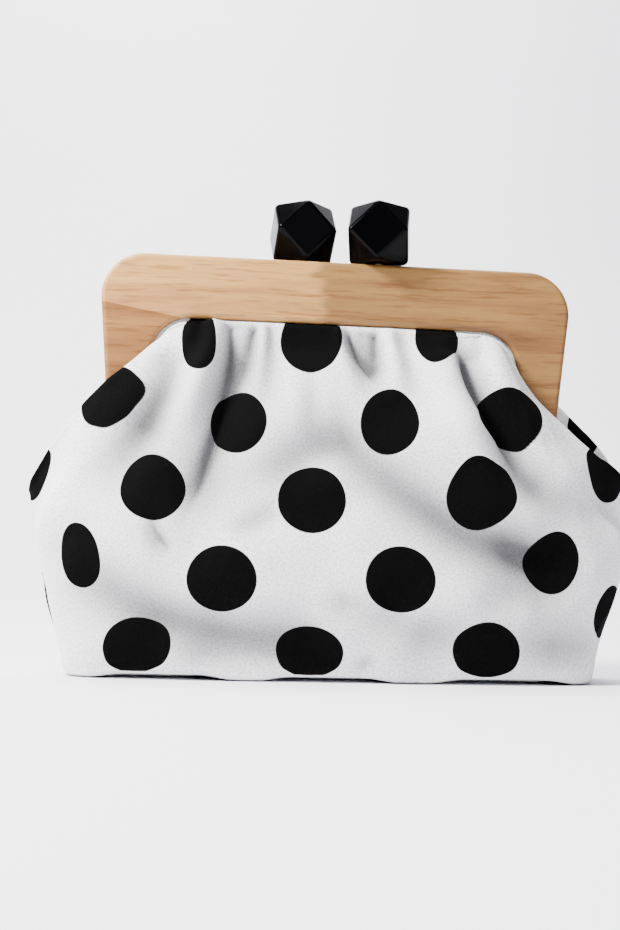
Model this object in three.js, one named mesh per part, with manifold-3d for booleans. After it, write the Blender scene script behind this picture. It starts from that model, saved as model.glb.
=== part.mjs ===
// Clutch purse: a two-part wooden frame, a gathered cloth pouch and two faceted beads.
// Millimetres, +Z up, the front faces -Y. The origin is on the surface under the purse's middle.
import * as THREE from "three";
import { ConvexGeometry } from "three/addons/geometries/ConvexGeometry.js";
import { mergeVertices } from "three/addons/utils/BufferGeometryUtils.js";
import Module from "manifold-3d";

// Wooden frame: two equal halves, each an upside-down U cut from one board.
const FRAME_WIDTH = 213; // across the legs, at the foot of the outer corners
const FRAME_TOP = 187.1; // height of the bar's top above the surface
const BAR_HEIGHT = 28.4; // the bar, top to bottom
const HALF_THICKNESS = 9; // one half, front to back
const HALVES_GAP = 0.4; // between the two closed halves
const LEG_WIDTH = 20.5;
const LEG_TAPER = 5.4; // degrees that each leg runs inward on its way down
const LEG_END_HEIGHT = 88; // height of the legs' lower ends
const LEG_END_RADIUS = 4;
const OUTER_CORNER_RADIUS = 19.5;
const INNER_CORNER_RADIUS = 18;
const WOOD_EDGE_RADIUS = 2;
const FRAME_LEAN = 0.8; // degrees that the frame leans down to the right on its soft pouch
const CLEARANCE = 0.3; // gap that pieces keep where they meet

// Cloth pouch: a front and a back panel, sewn at the sides and under the base.
const CLOTH_WALL = 1.5;
const GROOVE_DEPTH = 5; // of the slot in the wood that holds the hem
const POUCH_WIDTH = 274; // from ear to ear, before the ears' tips are rounded
const POUCH_DEPTH = 91; // at the belly
const EAR_HEIGHT = 86; // height of the widest points
const EAR_ROUNDING = 1.2; // that each ear's tip is drawn in
const BASE_WIDTH = 229;
const BASE_DEPTH = 61;
const SHOULDER_STAND = 15; // how far the shoulder folds stand out from the middle plane
const CLOTH_OFF_WOOD = 2.6; // between the wood's face and the cloth that passes it
const FOLD_WIDTH = 10; // unit for the widths in the fold tables
const FOLD_DEPTH = 5; // unit for the depths in the fold tables

// Beads and the dowels that hold them on the bar.
const BEAD_SIZE = 27.2; // across opposite square faces
const BEAD_EDGE_RADIUS = 1.8;
const BEAD_SPACING = 34.7;
const BEAD_PAIR_SHIFT = 1; // of the pair's middle from the bar's middle
const POST_DIAMETER = 4;
const POST_IN_WOOD = 10;
const POST_IN_BEAD = 11;

// Plain hinges under the hidden leg ends.
const HINGE_LENGTH = 11;
const HINGE_PLATE = 1.2;
const HINGE_BARREL = 3.6; // diameter

const LEFT = -1;
const RIGHT = 1;
const FRONT = -1;
const BACK = 1;

// Values worked out from the sizes above.
const taper = THREE.MathUtils.degToRad(LEG_TAPER);
const lean = THREE.MathUtils.degToRad(FRAME_LEAN);
const barBottom = FRAME_TOP - BAR_HEIGHT;
const halfMiddle = (HALVES_GAP + HALF_THICKNESS) / 2; // middle plane of one half, from y = 0
const woodFace = HALVES_GAP / 2 + HALF_THICKNESS; // outer face of one half, from y = 0
const grooveWidth = CLOTH_WALL + 2 * CLEARANCE;
const hingeDrop = CLEARANCE + HINGE_PLATE + HINGE_BARREL / 2; // from the leg end to the hinge's foot

// Outer or inner edge of the right leg at a height, with the opening's edge set back by `outset`.
function legOuterX(z) {
  return FRAME_WIDTH / 2 - Math.tan(taper) * (FRAME_TOP - OUTER_CORNER_RADIUS - z);
}

function legInnerX(z, outset = 0) {
  return legOuterX(z) - (LEG_WIDTH - outset) / Math.cos(taper);
}

const ARC_STEPS = 7;

// Points of a polygon whose corners [x, z, radius] are rounded by arcs.
function roundedOutline(corners, arcSteps) {
  const points = [];
  corners.forEach(([x, z, radius], i) => {
    const corner = new THREE.Vector2(x, z);
    const before = corners.at(i - 1);
    const after = corners[(i + 1) % corners.length];
    const back = new THREE.Vector2(before[0], before[1]).sub(corner).normalize();
    const ahead = new THREE.Vector2(after[0], after[1]).sub(corner).normalize();
    const half = Math.acos(THREE.MathUtils.clamp(back.dot(ahead), -1, 1)) / 2;
    const centre = back.clone().add(ahead).normalize().multiplyScalar(radius / Math.sin(half));
    centre.add(corner);
    const start = back.clone().multiplyScalar(radius / Math.tan(half)).add(corner).sub(centre);
    const end = ahead.clone().multiplyScalar(radius / Math.tan(half)).add(corner).sub(centre);
    const turn = Math.atan2(start.cross(end), start.dot(end));
    for (let k = 0; k <= arcSteps; k += 1) {
      points.push(start.clone().rotateAround(new THREE.Vector2(), (turn * k) / arcSteps).add(centre));
    }
  });
  return points;
}

// An outline drawn in X and Z becomes a board of a given thickness, centred on y = 0.
function board(outline, thickness, edgeRadius = 0) {
  const geometry = new THREE.ExtrudeGeometry(new THREE.Shape(outline), {
    depth: thickness - 2 * edgeRadius,
    bevelEnabled: edgeRadius > 0,
    bevelThickness: edgeRadius,
    bevelSize: edgeRadius,
    bevelOffset: -edgeRadius,
    bevelSegments: 2,
  });
  geometry.translate(0, 0, edgeRadius - thickness / 2);
  geometry.rotateX(Math.PI / 2);
  return geometry;
}

const wasm = await Module();
wasm.setup();

function toSolid(geometry) {
  const bare = geometry.index ? geometry.clone() : geometry;
  bare.deleteAttribute("normal");
  bare.deleteAttribute("uv");
  const merged = mergeVertices(bare, 1e-4);
  return new wasm.Manifold(
    new wasm.Mesh({
      numProp: 3,
      vertProperties: new Float32Array(merged.attributes.position.array),
      triVerts: new Uint32Array(merged.index.array),
    }),
  );
}

function toGeometry(solid) {
  const mesh = solid.getMesh();
  const geometry = new THREE.BufferGeometry();
  geometry.setAttribute("position", new THREE.BufferAttribute(mesh.vertProperties, 3));
  geometry.setIndex(new THREE.BufferAttribute(mesh.triVerts, 1));
  geometry.computeVertexNormals();
  return geometry;
}

function named(name, geometry, colour, roughness, metalness) {
  const material = new THREE.MeshStandardMaterial({ color: colour, roughness, metalness });
  const mesh = new THREE.Mesh(geometry, material);
  mesh.name = name;
  return mesh;
}

// A round rod that stands along Z on its middle.
function rod(diameter, length, sides) {
  const geometry = new THREE.CylinderGeometry(diameter / 2, diameter / 2, length, sides);
  geometry.rotateX(Math.PI / 2);
  return geometry;
}

// Where each bead stands on the bar, which half carries it, how far its dowel lifts it off the wood
// and how many degrees it is turned.
const BEADS = [
  { name: "left", side: LEFT, half: BACK, lift: 1.3, turn: 7 },
  { name: "right", side: RIGHT, half: FRONT, lift: 0.5, turn: -10 },
];

function beadX(bead) {
  return BEAD_PAIR_SHIFT + (bead.side * BEAD_SPACING) / 2;
}

// One half of the frame, with the hem's groove in its inner edge and the bore for its bead's dowel.
function frameHalf(half) {
  const footZ = LEG_END_HEIGHT;
  const outerFoot = legOuterX(footZ);
  const innerFoot = legInnerX(footZ);
  const rightHalf = [
    [innerFoot, footZ, LEG_END_RADIUS],
    [outerFoot, footZ, LEG_END_RADIUS],
    [legOuterX(FRAME_TOP), FRAME_TOP, OUTER_CORNER_RADIUS],
  ];
  const innerTop = [legInnerX(barBottom), barBottom, INNER_CORNER_RADIUS];
  const corners = [
    ...rightHalf,
    ...rightHalf.map(([x, z, radius]) => [-x, z, radius]).reverse(),
    [-innerTop[0], innerTop[1], innerTop[2]],
    innerTop,
  ];
  const wood = toSolid(board(roundedOutline(corners, ARC_STEPS), HALF_THICKNESS, WOOD_EDGE_RADIUS));

  const slotTop = barBottom + GROOVE_DEPTH;
  const slotFoot = footZ - GROOVE_DEPTH;
  const slot = [
    [legInnerX(slotFoot, GROOVE_DEPTH), slotFoot, CLEARANCE],
    [legInnerX(slotTop, GROOVE_DEPTH), slotTop, INNER_CORNER_RADIUS + GROOVE_DEPTH],
  ];
  const slotCorners = [...slot, ...slot.map(([x, z, radius]) => [-x, z, radius]).reverse()];
  const groove = toSolid(board(roundedOutline(slotCorners, ARC_STEPS), grooveWidth));

  const boreDepth = POST_IN_WOOD + CLEARANCE;
  const bore = rod(POST_DIAMETER + 2 * CLEARANCE, 2 * boreDepth, 16);
  bore.translate(beadX(BEADS.find((bead) => bead.half === half)), 0, FRAME_TOP);
  return toGeometry(wood.subtract(groove).subtract(toSolid(bore)));
}

// A cube with its corners cut to the edge middles, its edges rounded, and a blind bore from below.
function bead() {
  const reach = BEAD_SIZE / 2 - BEAD_EDGE_RADIUS;
  const ball = new THREE.IcosahedronGeometry(BEAD_EDGE_RADIUS, 1).attributes.position;
  const points = [];
  for (const [u, v] of [[-1, -1], [-1, 1], [1, -1], [1, 1]]) {
    for (const corner of [[u, v, 0], [u, 0, v], [0, u, v]]) {
      for (let k = 0; k < ball.count; k += 1) {
        const centre = new THREE.Vector3(...corner).multiplyScalar(reach);
        points.push(centre.add(new THREE.Vector3().fromBufferAttribute(ball, k)));
      }
    }
  }
  const bore = rod(POST_DIAMETER + 2 * CLEARANCE, 2 * (POST_IN_BEAD + CLEARANCE), 16);
  bore.translate(0, 0, -BEAD_SIZE / 2);
  return toGeometry(toSolid(new ConvexGeometry(points)).subtract(toSolid(bore)));
}

// A plate across both leg ends with its barrel below, as one piece.
function hinge() {
  const plate = new THREE.BoxGeometry(HINGE_LENGTH, 2 * (woodFace - WOOD_EDGE_RADIUS), HINGE_PLATE);
  const barrel = rod(HINGE_BARREL, HINGE_LENGTH, 12);
  barrel.rotateY(Math.PI / 2);
  barrel.translate(0, 0, -HINGE_PLATE / 2);
  return toGeometry(toSolid(plate).add(toSolid(barrel)));
}

// Where a point of the upright frame lies once the frame leans.
function leaned(x, z) {
  const up = z - barBottom;
  return [x * Math.cos(lean) + up * Math.sin(lean), barBottom - x * Math.sin(lean) + up * Math.cos(lean)];
}

// The opening's edge, from the bar's middle out to one leg's end. `share` runs from 0 to 1 and
// `barShare` of it lies under the straight part of the bar. Gives the point and its outward normal.
const BAR_SHARE = 0.6;
const ROUND_SHARE = 0.9; // from here out to the seam the cloth passes round and under the leg's end
const ROUND_FULLNESS = 0.7; // 1 goes round it on a quarter ellipse, less keeps further off its corner
const WIDE_COLUMNS = 21;
const CLOSE_COLUMNS = 7;

function openingEdge(share, side) {
  const cornerZ = barBottom - INNER_CORNER_RADIUS;
  const tangentZ = cornerZ - INNER_CORNER_RADIUS * Math.sin(taper);
  const cornerX = legInnerX(tangentZ) - INNER_CORNER_RADIUS * Math.cos(taper);
  const arcLength = INNER_CORNER_RADIUS * (Math.PI / 2 + taper);
  const legLength = (tangentZ - LEG_END_HEIGHT - CLEARANCE) / Math.cos(taper);
  if (share <= BAR_SHARE) {
    return { x: (side * cornerX * share) / BAR_SHARE, z: barBottom, nx: 0, nz: 1 };
  }
  const along = ((share - BAR_SHARE) / (1 - BAR_SHARE)) * (arcLength + legLength);
  if (along <= arcLength) {
    const angle = Math.PI / 2 - along / INNER_CORNER_RADIUS;
    const nx = Math.cos(angle);
    const nz = Math.sin(angle);
    const x = cornerX + INNER_CORNER_RADIUS * nx;
    return { x: side * x, z: cornerZ + INNER_CORNER_RADIUS * nz, nx: side * nx, nz };
  }
  const z = tangentZ - (along - arcLength) * Math.cos(taper);
  return { x: side * legInnerX(z), z, nx: side * Math.cos(taper), nz: -Math.sin(taper) };
}

// Shoulder table: the ridge of each panel from the bar's corner out to the ear. `out` is the share
// of the way out; the other columns are shares of the height between the ears and the bar.
const SHOULDERS = [
  { out: 0.0, frontLeft: 0.96, frontRight: 0.96, backLeft: 0.96, backRight: 0.96 },
  { out: 0.125, frontLeft: 0.9, frontRight: 0.85, backLeft: 0.93, backRight: 0.97 },
  { out: 0.25, frontLeft: 0.81, frontRight: 0.62, backLeft: 0.85, backRight: 0.91 },
  { out: 0.375, frontLeft: 0.7, frontRight: 0.48, backLeft: 0.74, backRight: 0.83 },
  { out: 0.5, frontLeft: 0.6, frontRight: 0.378, backLeft: 0.62, backRight: 0.72 },
  { out: 0.625, frontLeft: 0.465, frontRight: 0.284, backLeft: 0.5, backRight: 0.61 },
  { out: 0.75, frontLeft: 0.3, frontRight: 0.207, backLeft: 0.36, backRight: 0.48 },
  { out: 0.875, frontLeft: 0.11, frontRight: 0.13, backLeft: 0.17, backRight: 0.3 },
  { out: 1.0, frontLeft: -0.06, frontRight: 0.05, backLeft: -0.06, backRight: 0.05 },
];

// Body table, from the belly down: shares of the ear height, of the pouch's width and of its depth,
// and how square the section is in plan (2 is an ellipse).
const BODY = [
  { height: 0.67, width: 0.96, depth: 1.0, square: 3.2 },
  { height: 0.28, width: 0.897, depth: 0.95, square: 3.6 },
  { height: 0.055, width: 0.858, depth: 0.76, square: 4.2 },
];
const RIDGE_DROP = 0.115; // of the ears-to-bar height: how far the ridge hangs under the bar's middle
const BASE_SQUARE = 4.6;
const BASE_SEAM_SHARE = 0.88; // of the base's width that the seam under it runs

// Front profile between the shoulder ridge and the belly: share of the way down, share of the way
// out to the belly's depth.
const PROFILE = [
  { down: 0.1, out: 0.22 },
  { down: 0.3, out: 0.5 },
  { down: 0.6, out: 0.78 },
];

// Fold tables: a start, a middle and an end point as shares of half the pouch's width and of the
// bar's height; width and depth in the units named above (a valley is negative); `step` makes one
// side of the fold stand higher, as where cloth laps over itself.
const FRONT_FOLDS = [
  { from: [-0.34, 1.0], by: [-0.4, 0.7], to: [-0.53, 0.36], width: 0.9, depth: -1.2, step: 0.3 },
  { from: [-0.41, 0.97], by: [-0.45, 0.78], to: [-0.49, 0.6], width: 0.7, depth: 0.55, step: 0 },
  { from: [-0.46, 0.99], by: [-0.47, 0.8], to: [-0.6, 0.56], width: 0.7, depth: -0.9, step: 0.3 },
  { from: [-0.55, 0.82], by: [-0.62, 0.7], to: [-0.74, 0.52], width: 1.1, depth: -0.6, step: 0 },
  { from: [-0.25, 0.99], by: [-0.26, 0.92], to: [-0.28, 0.83], width: 0.7, depth: -0.55, step: 0 },
  { from: [-0.09, 0.8], by: [-0.09, 0.7], to: [-0.09, 0.56], width: 1.6, depth: -0.5, step: 0 },
  { from: [0.05, 0.99], by: [0.09, 0.91], to: [0.14, 0.8], width: 0.8, depth: -0.6, step: 0 },
  { from: [0.16, 0.99], by: [0.18, 0.9], to: [0.22, 0.78], width: 0.8, depth: -0.6, step: 0 },
  { from: [0.4, 0.98], by: [0.48, 0.7], to: [0.7, 0.54], width: 0.8, depth: -1.2, step: -0.7 },
  { from: [0.33, 0.9], by: [0.42, 0.7], to: [0.52, 0.55], width: 1.1, depth: 0.6, step: 0 },
  { from: [0.52, 0.96], by: [0.56, 0.85], to: [0.66, 0.74], width: 0.9, depth: 0.6, step: 0 },
  { from: [0.03, 0.64], by: [0.27, 0.5], to: [0.63, 0.34], width: 2.2, depth: -0.95, step: 0 },
  { from: [-0.76, 0.32], by: [-0.56, 0.17], to: [-0.18, 0.09], width: 2.1, depth: -0.95, step: 0 },
  { from: [0.12, 0.16], by: [0.25, 0.12], to: [0.38, 0.12], width: 1.3, depth: -0.5, step: 0 },
  { from: [0.56, 0.19], by: [0.67, 0.18], to: [0.8, 0.2], width: 1.3, depth: -0.45, step: 0 },
  { from: [-0.34, 0.38], by: [-0.25, 0.42], to: [-0.16, 0.47], width: 1.3, depth: 0.35, step: 0 },
];
const BACK_FOLDS = [
  { from: [-0.45, 0.99], by: [-0.5, 0.78], to: [-0.66, 0.5], width: 0.9, depth: -1.1, step: 0.3 },
  { from: [-0.3, 0.99], by: [-0.33, 0.8], to: [-0.4, 0.62], width: 0.8, depth: -0.7, step: 0 },
  { from: [-0.14, 0.99], by: [-0.15, 0.88], to: [-0.19, 0.7], width: 0.8, depth: -0.6, step: 0 },
  { from: [0.02, 0.99], by: [0.02, 0.84], to: [0.0, 0.6], width: 0.9, depth: -0.8, step: 0 },
  { from: [0.2, 0.99], by: [0.22, 0.86], to: [0.28, 0.68], width: 0.8, depth: -0.6, step: 0 },
  { from: [0.38, 0.99], by: [0.42, 0.78], to: [0.56, 0.5], width: 0.9, depth: -1.1, step: -0.3 },
  { from: [0.5, 0.95], by: [0.56, 0.84], to: [0.68, 0.7], width: 0.9, depth: 0.5, step: 0 },
  { from: [-0.6, 0.34], by: [-0.3, 0.2], to: [0.1, 0.14], width: 2.1, depth: -0.8, step: 0 },
  { from: [0.3, 0.46], by: [0.5, 0.32], to: [0.74, 0.3], width: 2.0, depth: -0.7, step: 0 },
  { from: [-0.25, 0.5], by: [-0.05, 0.42], to: [0.2, 0.4], width: 2.0, depth: 0.3, step: 0 },
];
const PANELS = {
  [FRONT]: { folds: FRONT_FOLDS, left: "frontLeft", right: "frontRight" },
  [BACK]: { folds: BACK_FOLDS, left: "backLeft", right: "backRight" },
};

function smooth(low, high, value) {
  return THREE.MathUtils.smoothstep(value, low, high);
}

function mix(from, to, share) {
  return from + (to - from) * share;
}

// A value from a table of rows, eased between the rows on both sides of `at`.
function lookUp(table, key, column, at) {
  const next = Math.max(1, table.findIndex((row) => row[key] >= at));
  const below = table[next - 1];
  const above = table[next];
  return mix(below[column], above[column], (at - below[key]) / (above[key] - below[key]));
}

// A point of a superellipse in plan, at a share of the way from its middle to its side seam.
function planRing(halfWidth, halfDepth, square, share) {
  const steps = 60;
  const points = [];
  let length = 0;
  for (let k = 0; k <= steps; k += 1) {
    const angle = (Math.PI / 2) * (k / steps);
    const x = halfWidth * Math.sin(angle) ** (2 / square);
    const out = halfDepth * Math.cos(angle) ** (2 / square);
    if (k > 0) length += Math.hypot(x - points[k - 1].x, out - points[k - 1].out);
    points.push({ x, out, length });
  }
  const target = share * length;
  return {
    x: lookUp(points, "length", "x", target),
    out: lookUp(points, "length", "out", target),
  };
}

// The cloth's middle surface as rows of points {x, out, z} for one column of a panel. `across`
// runs from -1 at the left seam to 1 at the right one; `out` is the distance from the plane y = 0.
function columnRows(across, facing) {
  const side = across < 0 ? LEFT : RIGHT;
  const share = Math.abs(across);
  const onBar = 1 - smooth(BAR_SHARE - 0.12, BAR_SHARE + 0.02, share);
  const legShare = Math.max(0, (share - BAR_SHARE) / (1 - BAR_SHARE));
  const seamGap = CLEARANCE / 2;
  const round = (Math.PI / 2) * Math.max(0, (share - ROUND_SHARE) / (1 - ROUND_SHARE));
  const edge = openingEdge(share, side);
  const inFront = woodFace + CLOTH_OFF_WOOD;
  const [hemX, hemZ] = leaned(
    edge.x + edge.nx * (GROOVE_DEPTH - CLEARANCE),
    edge.z + edge.nz * (GROOVE_DEPTH - CLEARANCE),
  );
  const mouthOff = CLOTH_WALL / 2 + CLEARANCE * mix(4, 1.5, onBar);
  const [mouthX, mouthZ] = leaned(edge.x - edge.nx * mouthOff, edge.z - edge.nz * mouthOff);

  const underLocal = LEG_END_HEIGHT - hingeDrop - CLEARANCE - CLOTH_WALL;
  const footX = side * (legInnerX(LEG_END_HEIGHT) + 1);
  const turned = Math.sin(round) ** ROUND_FULLNESS;
  const stillInFront = Math.max(0, Math.cos(round)) ** ROUND_FULLNESS;
  const collarOff = mouthOff + CLEARANCE * mix(3, 1, onBar);
  const [collarX, collarZ] = leaned(
    mix(edge.x - edge.nx * collarOff, footX, smooth(0.6, 1, turned)),
    mix(edge.z - edge.nz * collarOff, underLocal, turned),
  );
  const collarOut = Math.max(seamGap, mix(inFront, woodFace, onBar) * stillInFront);

  const panel = PANELS[facing];
  const ridgeStart = openingEdge(BAR_SHARE, RIGHT).x;
  const heights = barBottom - EAR_HEIGHT;
  const ridgeShare = lookUp(SHOULDERS, "out", side < 0 ? panel.left : panel.right, legShare);
  const ridgeDrop = RIDGE_DROP * (1 - smooth(0.2, BAR_SHARE, share));
  const onLeg = share > BAR_SHARE;
  const tipX = POUCH_WIDTH / 2 - EAR_ROUNDING * smooth(0.8, 1, legShare);
  const ridgeX = onLeg ? side * mix(ridgeStart, tipX, legShare) : edge.x;
  const ridgeZ = EAR_HEIGHT + heights * (ridgeShare - ridgeDrop);
  const closing = Math.sqrt(Math.max(0, 1 - Math.max(0, 2 * legShare - 1) ** 2));
  const ridgeOut = Math.max(seamGap, SHOULDER_STAND * mix(0.9, 1, smooth(0, 0.5, legShare)) * closing);

  const legEdge = legOuterX(collarZ) + CLOTH_OFF_WOOD;
  const overReach = mix(0.55, 0.9, smooth(0.35, 0.7, legShare)); // share of the way to the leg's edge
  const overX = side * mix(Math.abs(collarX), Math.min(Math.abs(ridgeX), legEdge), overReach);
  const underZ = leaned(side * legEdge, underLocal)[1];
  const overZ = mix(mix(collarZ, ridgeZ, 0.5), underZ, turned);
  const overOut = Math.max(seamGap, mix(inFront, 0.5 * (collarOut + ridgeOut), onBar) * stillInFront);

  const rows = [
    { x: hemX, out: halfMiddle, z: hemZ },
    { x: mouthX, out: halfMiddle, z: mouthZ },
    { x: collarX, out: collarOut, z: collarZ },
    { x: overX, out: overOut, z: overZ },
    { x: ridgeX, out: ridgeOut, z: ridgeZ },
  ];
  const belly = sectionPoint(BODY[0], share);
  for (const { down, out } of PROFILE) {
    rows.push({
      x: side * mix(Math.abs(ridgeX), belly.x, down),
      out: mix(ridgeOut, belly.out, out),
      z: mix(ridgeZ, belly.z, down),
    });
  }
  for (const section of BODY) {
    const point = sectionPoint(section, share);
    rows.push({ x: side * point.x, out: Math.max(seamGap, point.out), z: point.z });
  }
  const base = planRing(BASE_WIDTH / 2, BASE_DEPTH / 2, BASE_SQUARE, share);
  rows.push({ x: side * base.x, out: Math.max(seamGap, base.out), z: CLOTH_WALL / 2 });
  rows.push({ x: (across * BASE_WIDTH * BASE_SEAM_SHARE) / 2, out: seamGap, z: CLOTH_WALL / 2 });
  return rows;
}

function sectionPoint(section, share) {
  const halfWidth = (section.width * POUCH_WIDTH) / 2;
  const halfDepth = (section.depth * POUCH_DEPTH) / 2;
  const point = planRing(halfWidth, halfDepth, section.square, share);
  return { ...point, z: section.height * EAR_HEIGHT };
}

// Smooth curve through a column's rows, cut into `cuts[i]` steps between row i and the next.
function columnPoints(rows, facing, cuts) {
  const points = rows.map((row) => new THREE.Vector3(row.x, facing * row.out, row.z));
  const knots = [0];
  for (let i = 1; i < points.length; i += 1) {
    knots.push(knots[i - 1] + Math.sqrt(points[i].distanceTo(points[i - 1])) + 1e-3);
  }
  const slopes = points.map((point, i) => {
    const before = Math.max(0, i - 1);
    const after = Math.min(points.length - 1, i + 1);
    return points[after].clone().sub(points[before]).divideScalar(knots[after] - knots[before]);
  });
  const column = [];
  cuts.forEach((steps, i) => {
    const span = knots[i + 1] - knots[i];
    for (let k = 0; k < steps; k += 1) {
      const s = k / steps;
      const point = points[i].clone().multiplyScalar(2 * s ** 3 - 3 * s ** 2 + 1);
      point.addScaledVector(slopes[i], span * (s ** 3 - 2 * s ** 2 + s));
      point.addScaledVector(points[i + 1], 3 * s ** 2 - 2 * s ** 3);
      point.addScaledVector(slopes[i + 1], span * (s ** 3 - s ** 2));
      column.push(point);
    }
  });
  column.push(points.at(-1));
  return column;
}

// A fold's line in the front view, in millimetres, as a few straight pieces.
function foldLine(fold) {
  const corners = [fold.from, fold.by, fold.to].map(
    ([x, z]) => new THREE.Vector2((x * POUCH_WIDTH) / 2, z * barBottom),
  );
  return new THREE.SplineCurve(corners).getPoints(10);
}

// How far a fold moves the cloth at a place in the front view.
function foldAt(fold, line, place) {
  const width = fold.width * FOLD_WIDTH;
  let nearest = Infinity;
  let along = 0;
  let sideways = 0;
  for (let k = 1; k < line.length; k += 1) {
    const run = line[k].clone().sub(line[k - 1]);
    const off = place.clone().sub(line[k - 1]);
    const share = THREE.MathUtils.clamp(off.dot(run) / run.lengthSq(), 0, 1);
    off.addScaledVector(run, -share);
    if (off.length() < nearest) {
      nearest = off.length();
      along = (k - 1 + share) / (line.length - 1);
      sideways = run.cross(off) / run.length() / width;
    }
  }
  const fade = Math.sqrt(Math.sin(Math.PI * (0.25 + 0.75 * along)));
  const bump = Math.exp(-((nearest / width) ** 2));
  const shelf = fold.step * Math.tanh(2.5 * sideways) * Math.exp(-(((0.6 * nearest) / width) ** 2));
  return fold.depth * FOLD_DEPTH * fade * (bump + shelf);
}

// Steps between the rows: hem, mouth, collar, over the leg, ridge, profile, body, base edge, seam.
const ROW_STEPS = [1, 1, 1, 1, 2, 2, 2, 2, 3, 2, 1, 1];

// Column places from the left seam to the right one, closer together where the cloth rounds a leg.
function columnPlaces() {
  const places = [];
  for (let k = 0; k < WIDE_COLUMNS; k += 1) places.push((ROUND_SHARE * k) / WIDE_COLUMNS);
  for (let k = 0; k <= CLOSE_COLUMNS; k += 1) {
    places.push(ROUND_SHARE + ((1 - ROUND_SHARE) * k) / CLOSE_COLUMNS);
  }
  return [...places.slice(1).reverse().map((place) => -place), ...places];
}

// One cloth panel: the folded middle surface, thickened to a closed wall.
function panel(facing) {
  const rowCount = ROW_STEPS.reduce((sum, steps) => sum + steps, 0) + 1;
  const collarRow = ROW_STEPS[0] + ROW_STEPS[1];
  const ridgeRow = collarRow + ROW_STEPS[2] + ROW_STEPS[3];
  const places = columnPlaces();
  const grid = places.map((across) => columnPoints(columnRows(across, facing), facing, ROW_STEPS));
  const normals = gridNormals(grid, facing);
  const { folds } = PANELS[facing];
  const lines = folds.map(foldLine);
  for (let i = 0; i < places.length; i += 1) {
    const share = Math.abs(places[i]);
    for (let j = 0; j < rowCount; j += 1) {
      const point = grid[i][j];
      const startRow = mix(collarRow - 0.5, ridgeRow, smooth(0.5, 0.66, share));
      const grows = smooth(startRow, startRow + 3, j) * (1 - smooth(0.9, 1, share));
      const settles = smooth(0, 0.12, point.z / EAR_HEIGHT);
      const place = new THREE.Vector2(point.x, point.z);
      const depth = folds.reduce((sum, fold, k) => sum + foldAt(fold, lines[k], place), 0);
      point.addScaledVector(normals[i][j], depth * grows * settles);
    }
  }
  return thickened(grid, facing, collarRow);
}

// Unit normals of the grid, pointing out of the pouch.
function gridNormals(grid, facing) {
  const last = grid.length - 1;
  return grid.map((column, i) =>
    column.map((_, j) => {
      const alongX = grid[Math.min(last, i + 1)][j].clone().sub(grid[Math.max(0, i - 1)][j]);
      const alongZ = column[Math.min(column.length - 1, j + 1)].clone().sub(column[Math.max(0, j - 1)]);
      return alongZ.cross(alongX).multiplyScalar(facing * -1).normalize();
    }),
  );
}

function thickened(grid, facing, collarRow) {
  const columns = grid.length;
  const rows = grid[0].length;
  const normals = gridNormals(grid, facing);
  const positions = [];
  for (const layer of [1, -1]) {
    for (let i = 0; i < columns; i += 1) {
      for (let j = 0; j < rows; j += 1) {
        const normal = normals[i][j];
        const atSideSeam = (i === 0 || i === columns - 1) && j >= collarRow;
        if (atSideSeam || j === rows - 1) normal.setY(0).normalize();
        const point = grid[i][j].clone().addScaledVector(normal, (layer * CLOTH_WALL) / 2);
        const inwards = facing * Math.max(CLEARANCE / 2, facing * point.y);
        positions.push(point.x, inwards, Math.max(layer > 0 ? 0 : CLOTH_WALL, point.z));
      }
    }
  }
  const index = [];
  const end = columns - 1;
  const at = (layer, i, j) => (layer * columns + i) * rows + j;
  const quad = (a, b, c, d) => {
    const order = facing === FRONT ? [a, b, c, a, c, d] : [a, c, b, a, d, c];
    index.push(...order);
  };
  for (let i = 0; i + 1 < columns; i += 1) {
    for (let j = 0; j + 1 < rows; j += 1) {
      quad(at(0, i, j), at(0, i, j + 1), at(0, i + 1, j + 1), at(0, i + 1, j));
      quad(at(1, i, j), at(1, i + 1, j), at(1, i + 1, j + 1), at(1, i, j + 1));
    }
    quad(at(0, i, 0), at(0, i + 1, 0), at(1, i + 1, 0), at(1, i, 0));
    quad(at(0, i, rows - 1), at(1, i, rows - 1), at(1, i + 1, rows - 1), at(0, i + 1, rows - 1));
  }
  for (let j = 0; j + 1 < rows; j += 1) {
    quad(at(0, 0, j), at(1, 0, j), at(1, 0, j + 1), at(0, 0, j + 1));
    quad(at(0, end, j), at(0, end, j + 1), at(1, end, j + 1), at(1, end, j));
  }
  const geometry = new THREE.BufferGeometry();
  geometry.setAttribute("position", new THREE.Float32BufferAttribute(positions, 3));
  geometry.setIndex(index);
  geometry.computeVertexNormals();
  return geometry;
}

const clutch = new THREE.Group();

// Everything on the frame leans with it about the middle of the bar's lower edge.
const leaning = new THREE.Group();
leaning.position.set(0, 0, barBottom);
leaning.rotation.y = lean;
clutch.add(leaning);

function addToFrame(mesh, x, y, z) {
  mesh.position.set(x, y, z - barBottom);
  leaning.add(mesh);
}

const WOOD = [0xc89f78, 0.55, 0];
const BLACK = [0x0c0b0e, 0.12, 0];
const BRASS = [0xb08d4a, 0.35, 1];
const CLOTH = [0xe9e9ec, 0.9, 0];

addToFrame(named("frame_front", frameHalf(FRONT), ...WOOD), 0, FRONT * halfMiddle, 0);
addToFrame(named("frame_back", frameHalf(BACK), ...WOOD), 0, BACK * halfMiddle, 0);

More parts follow.
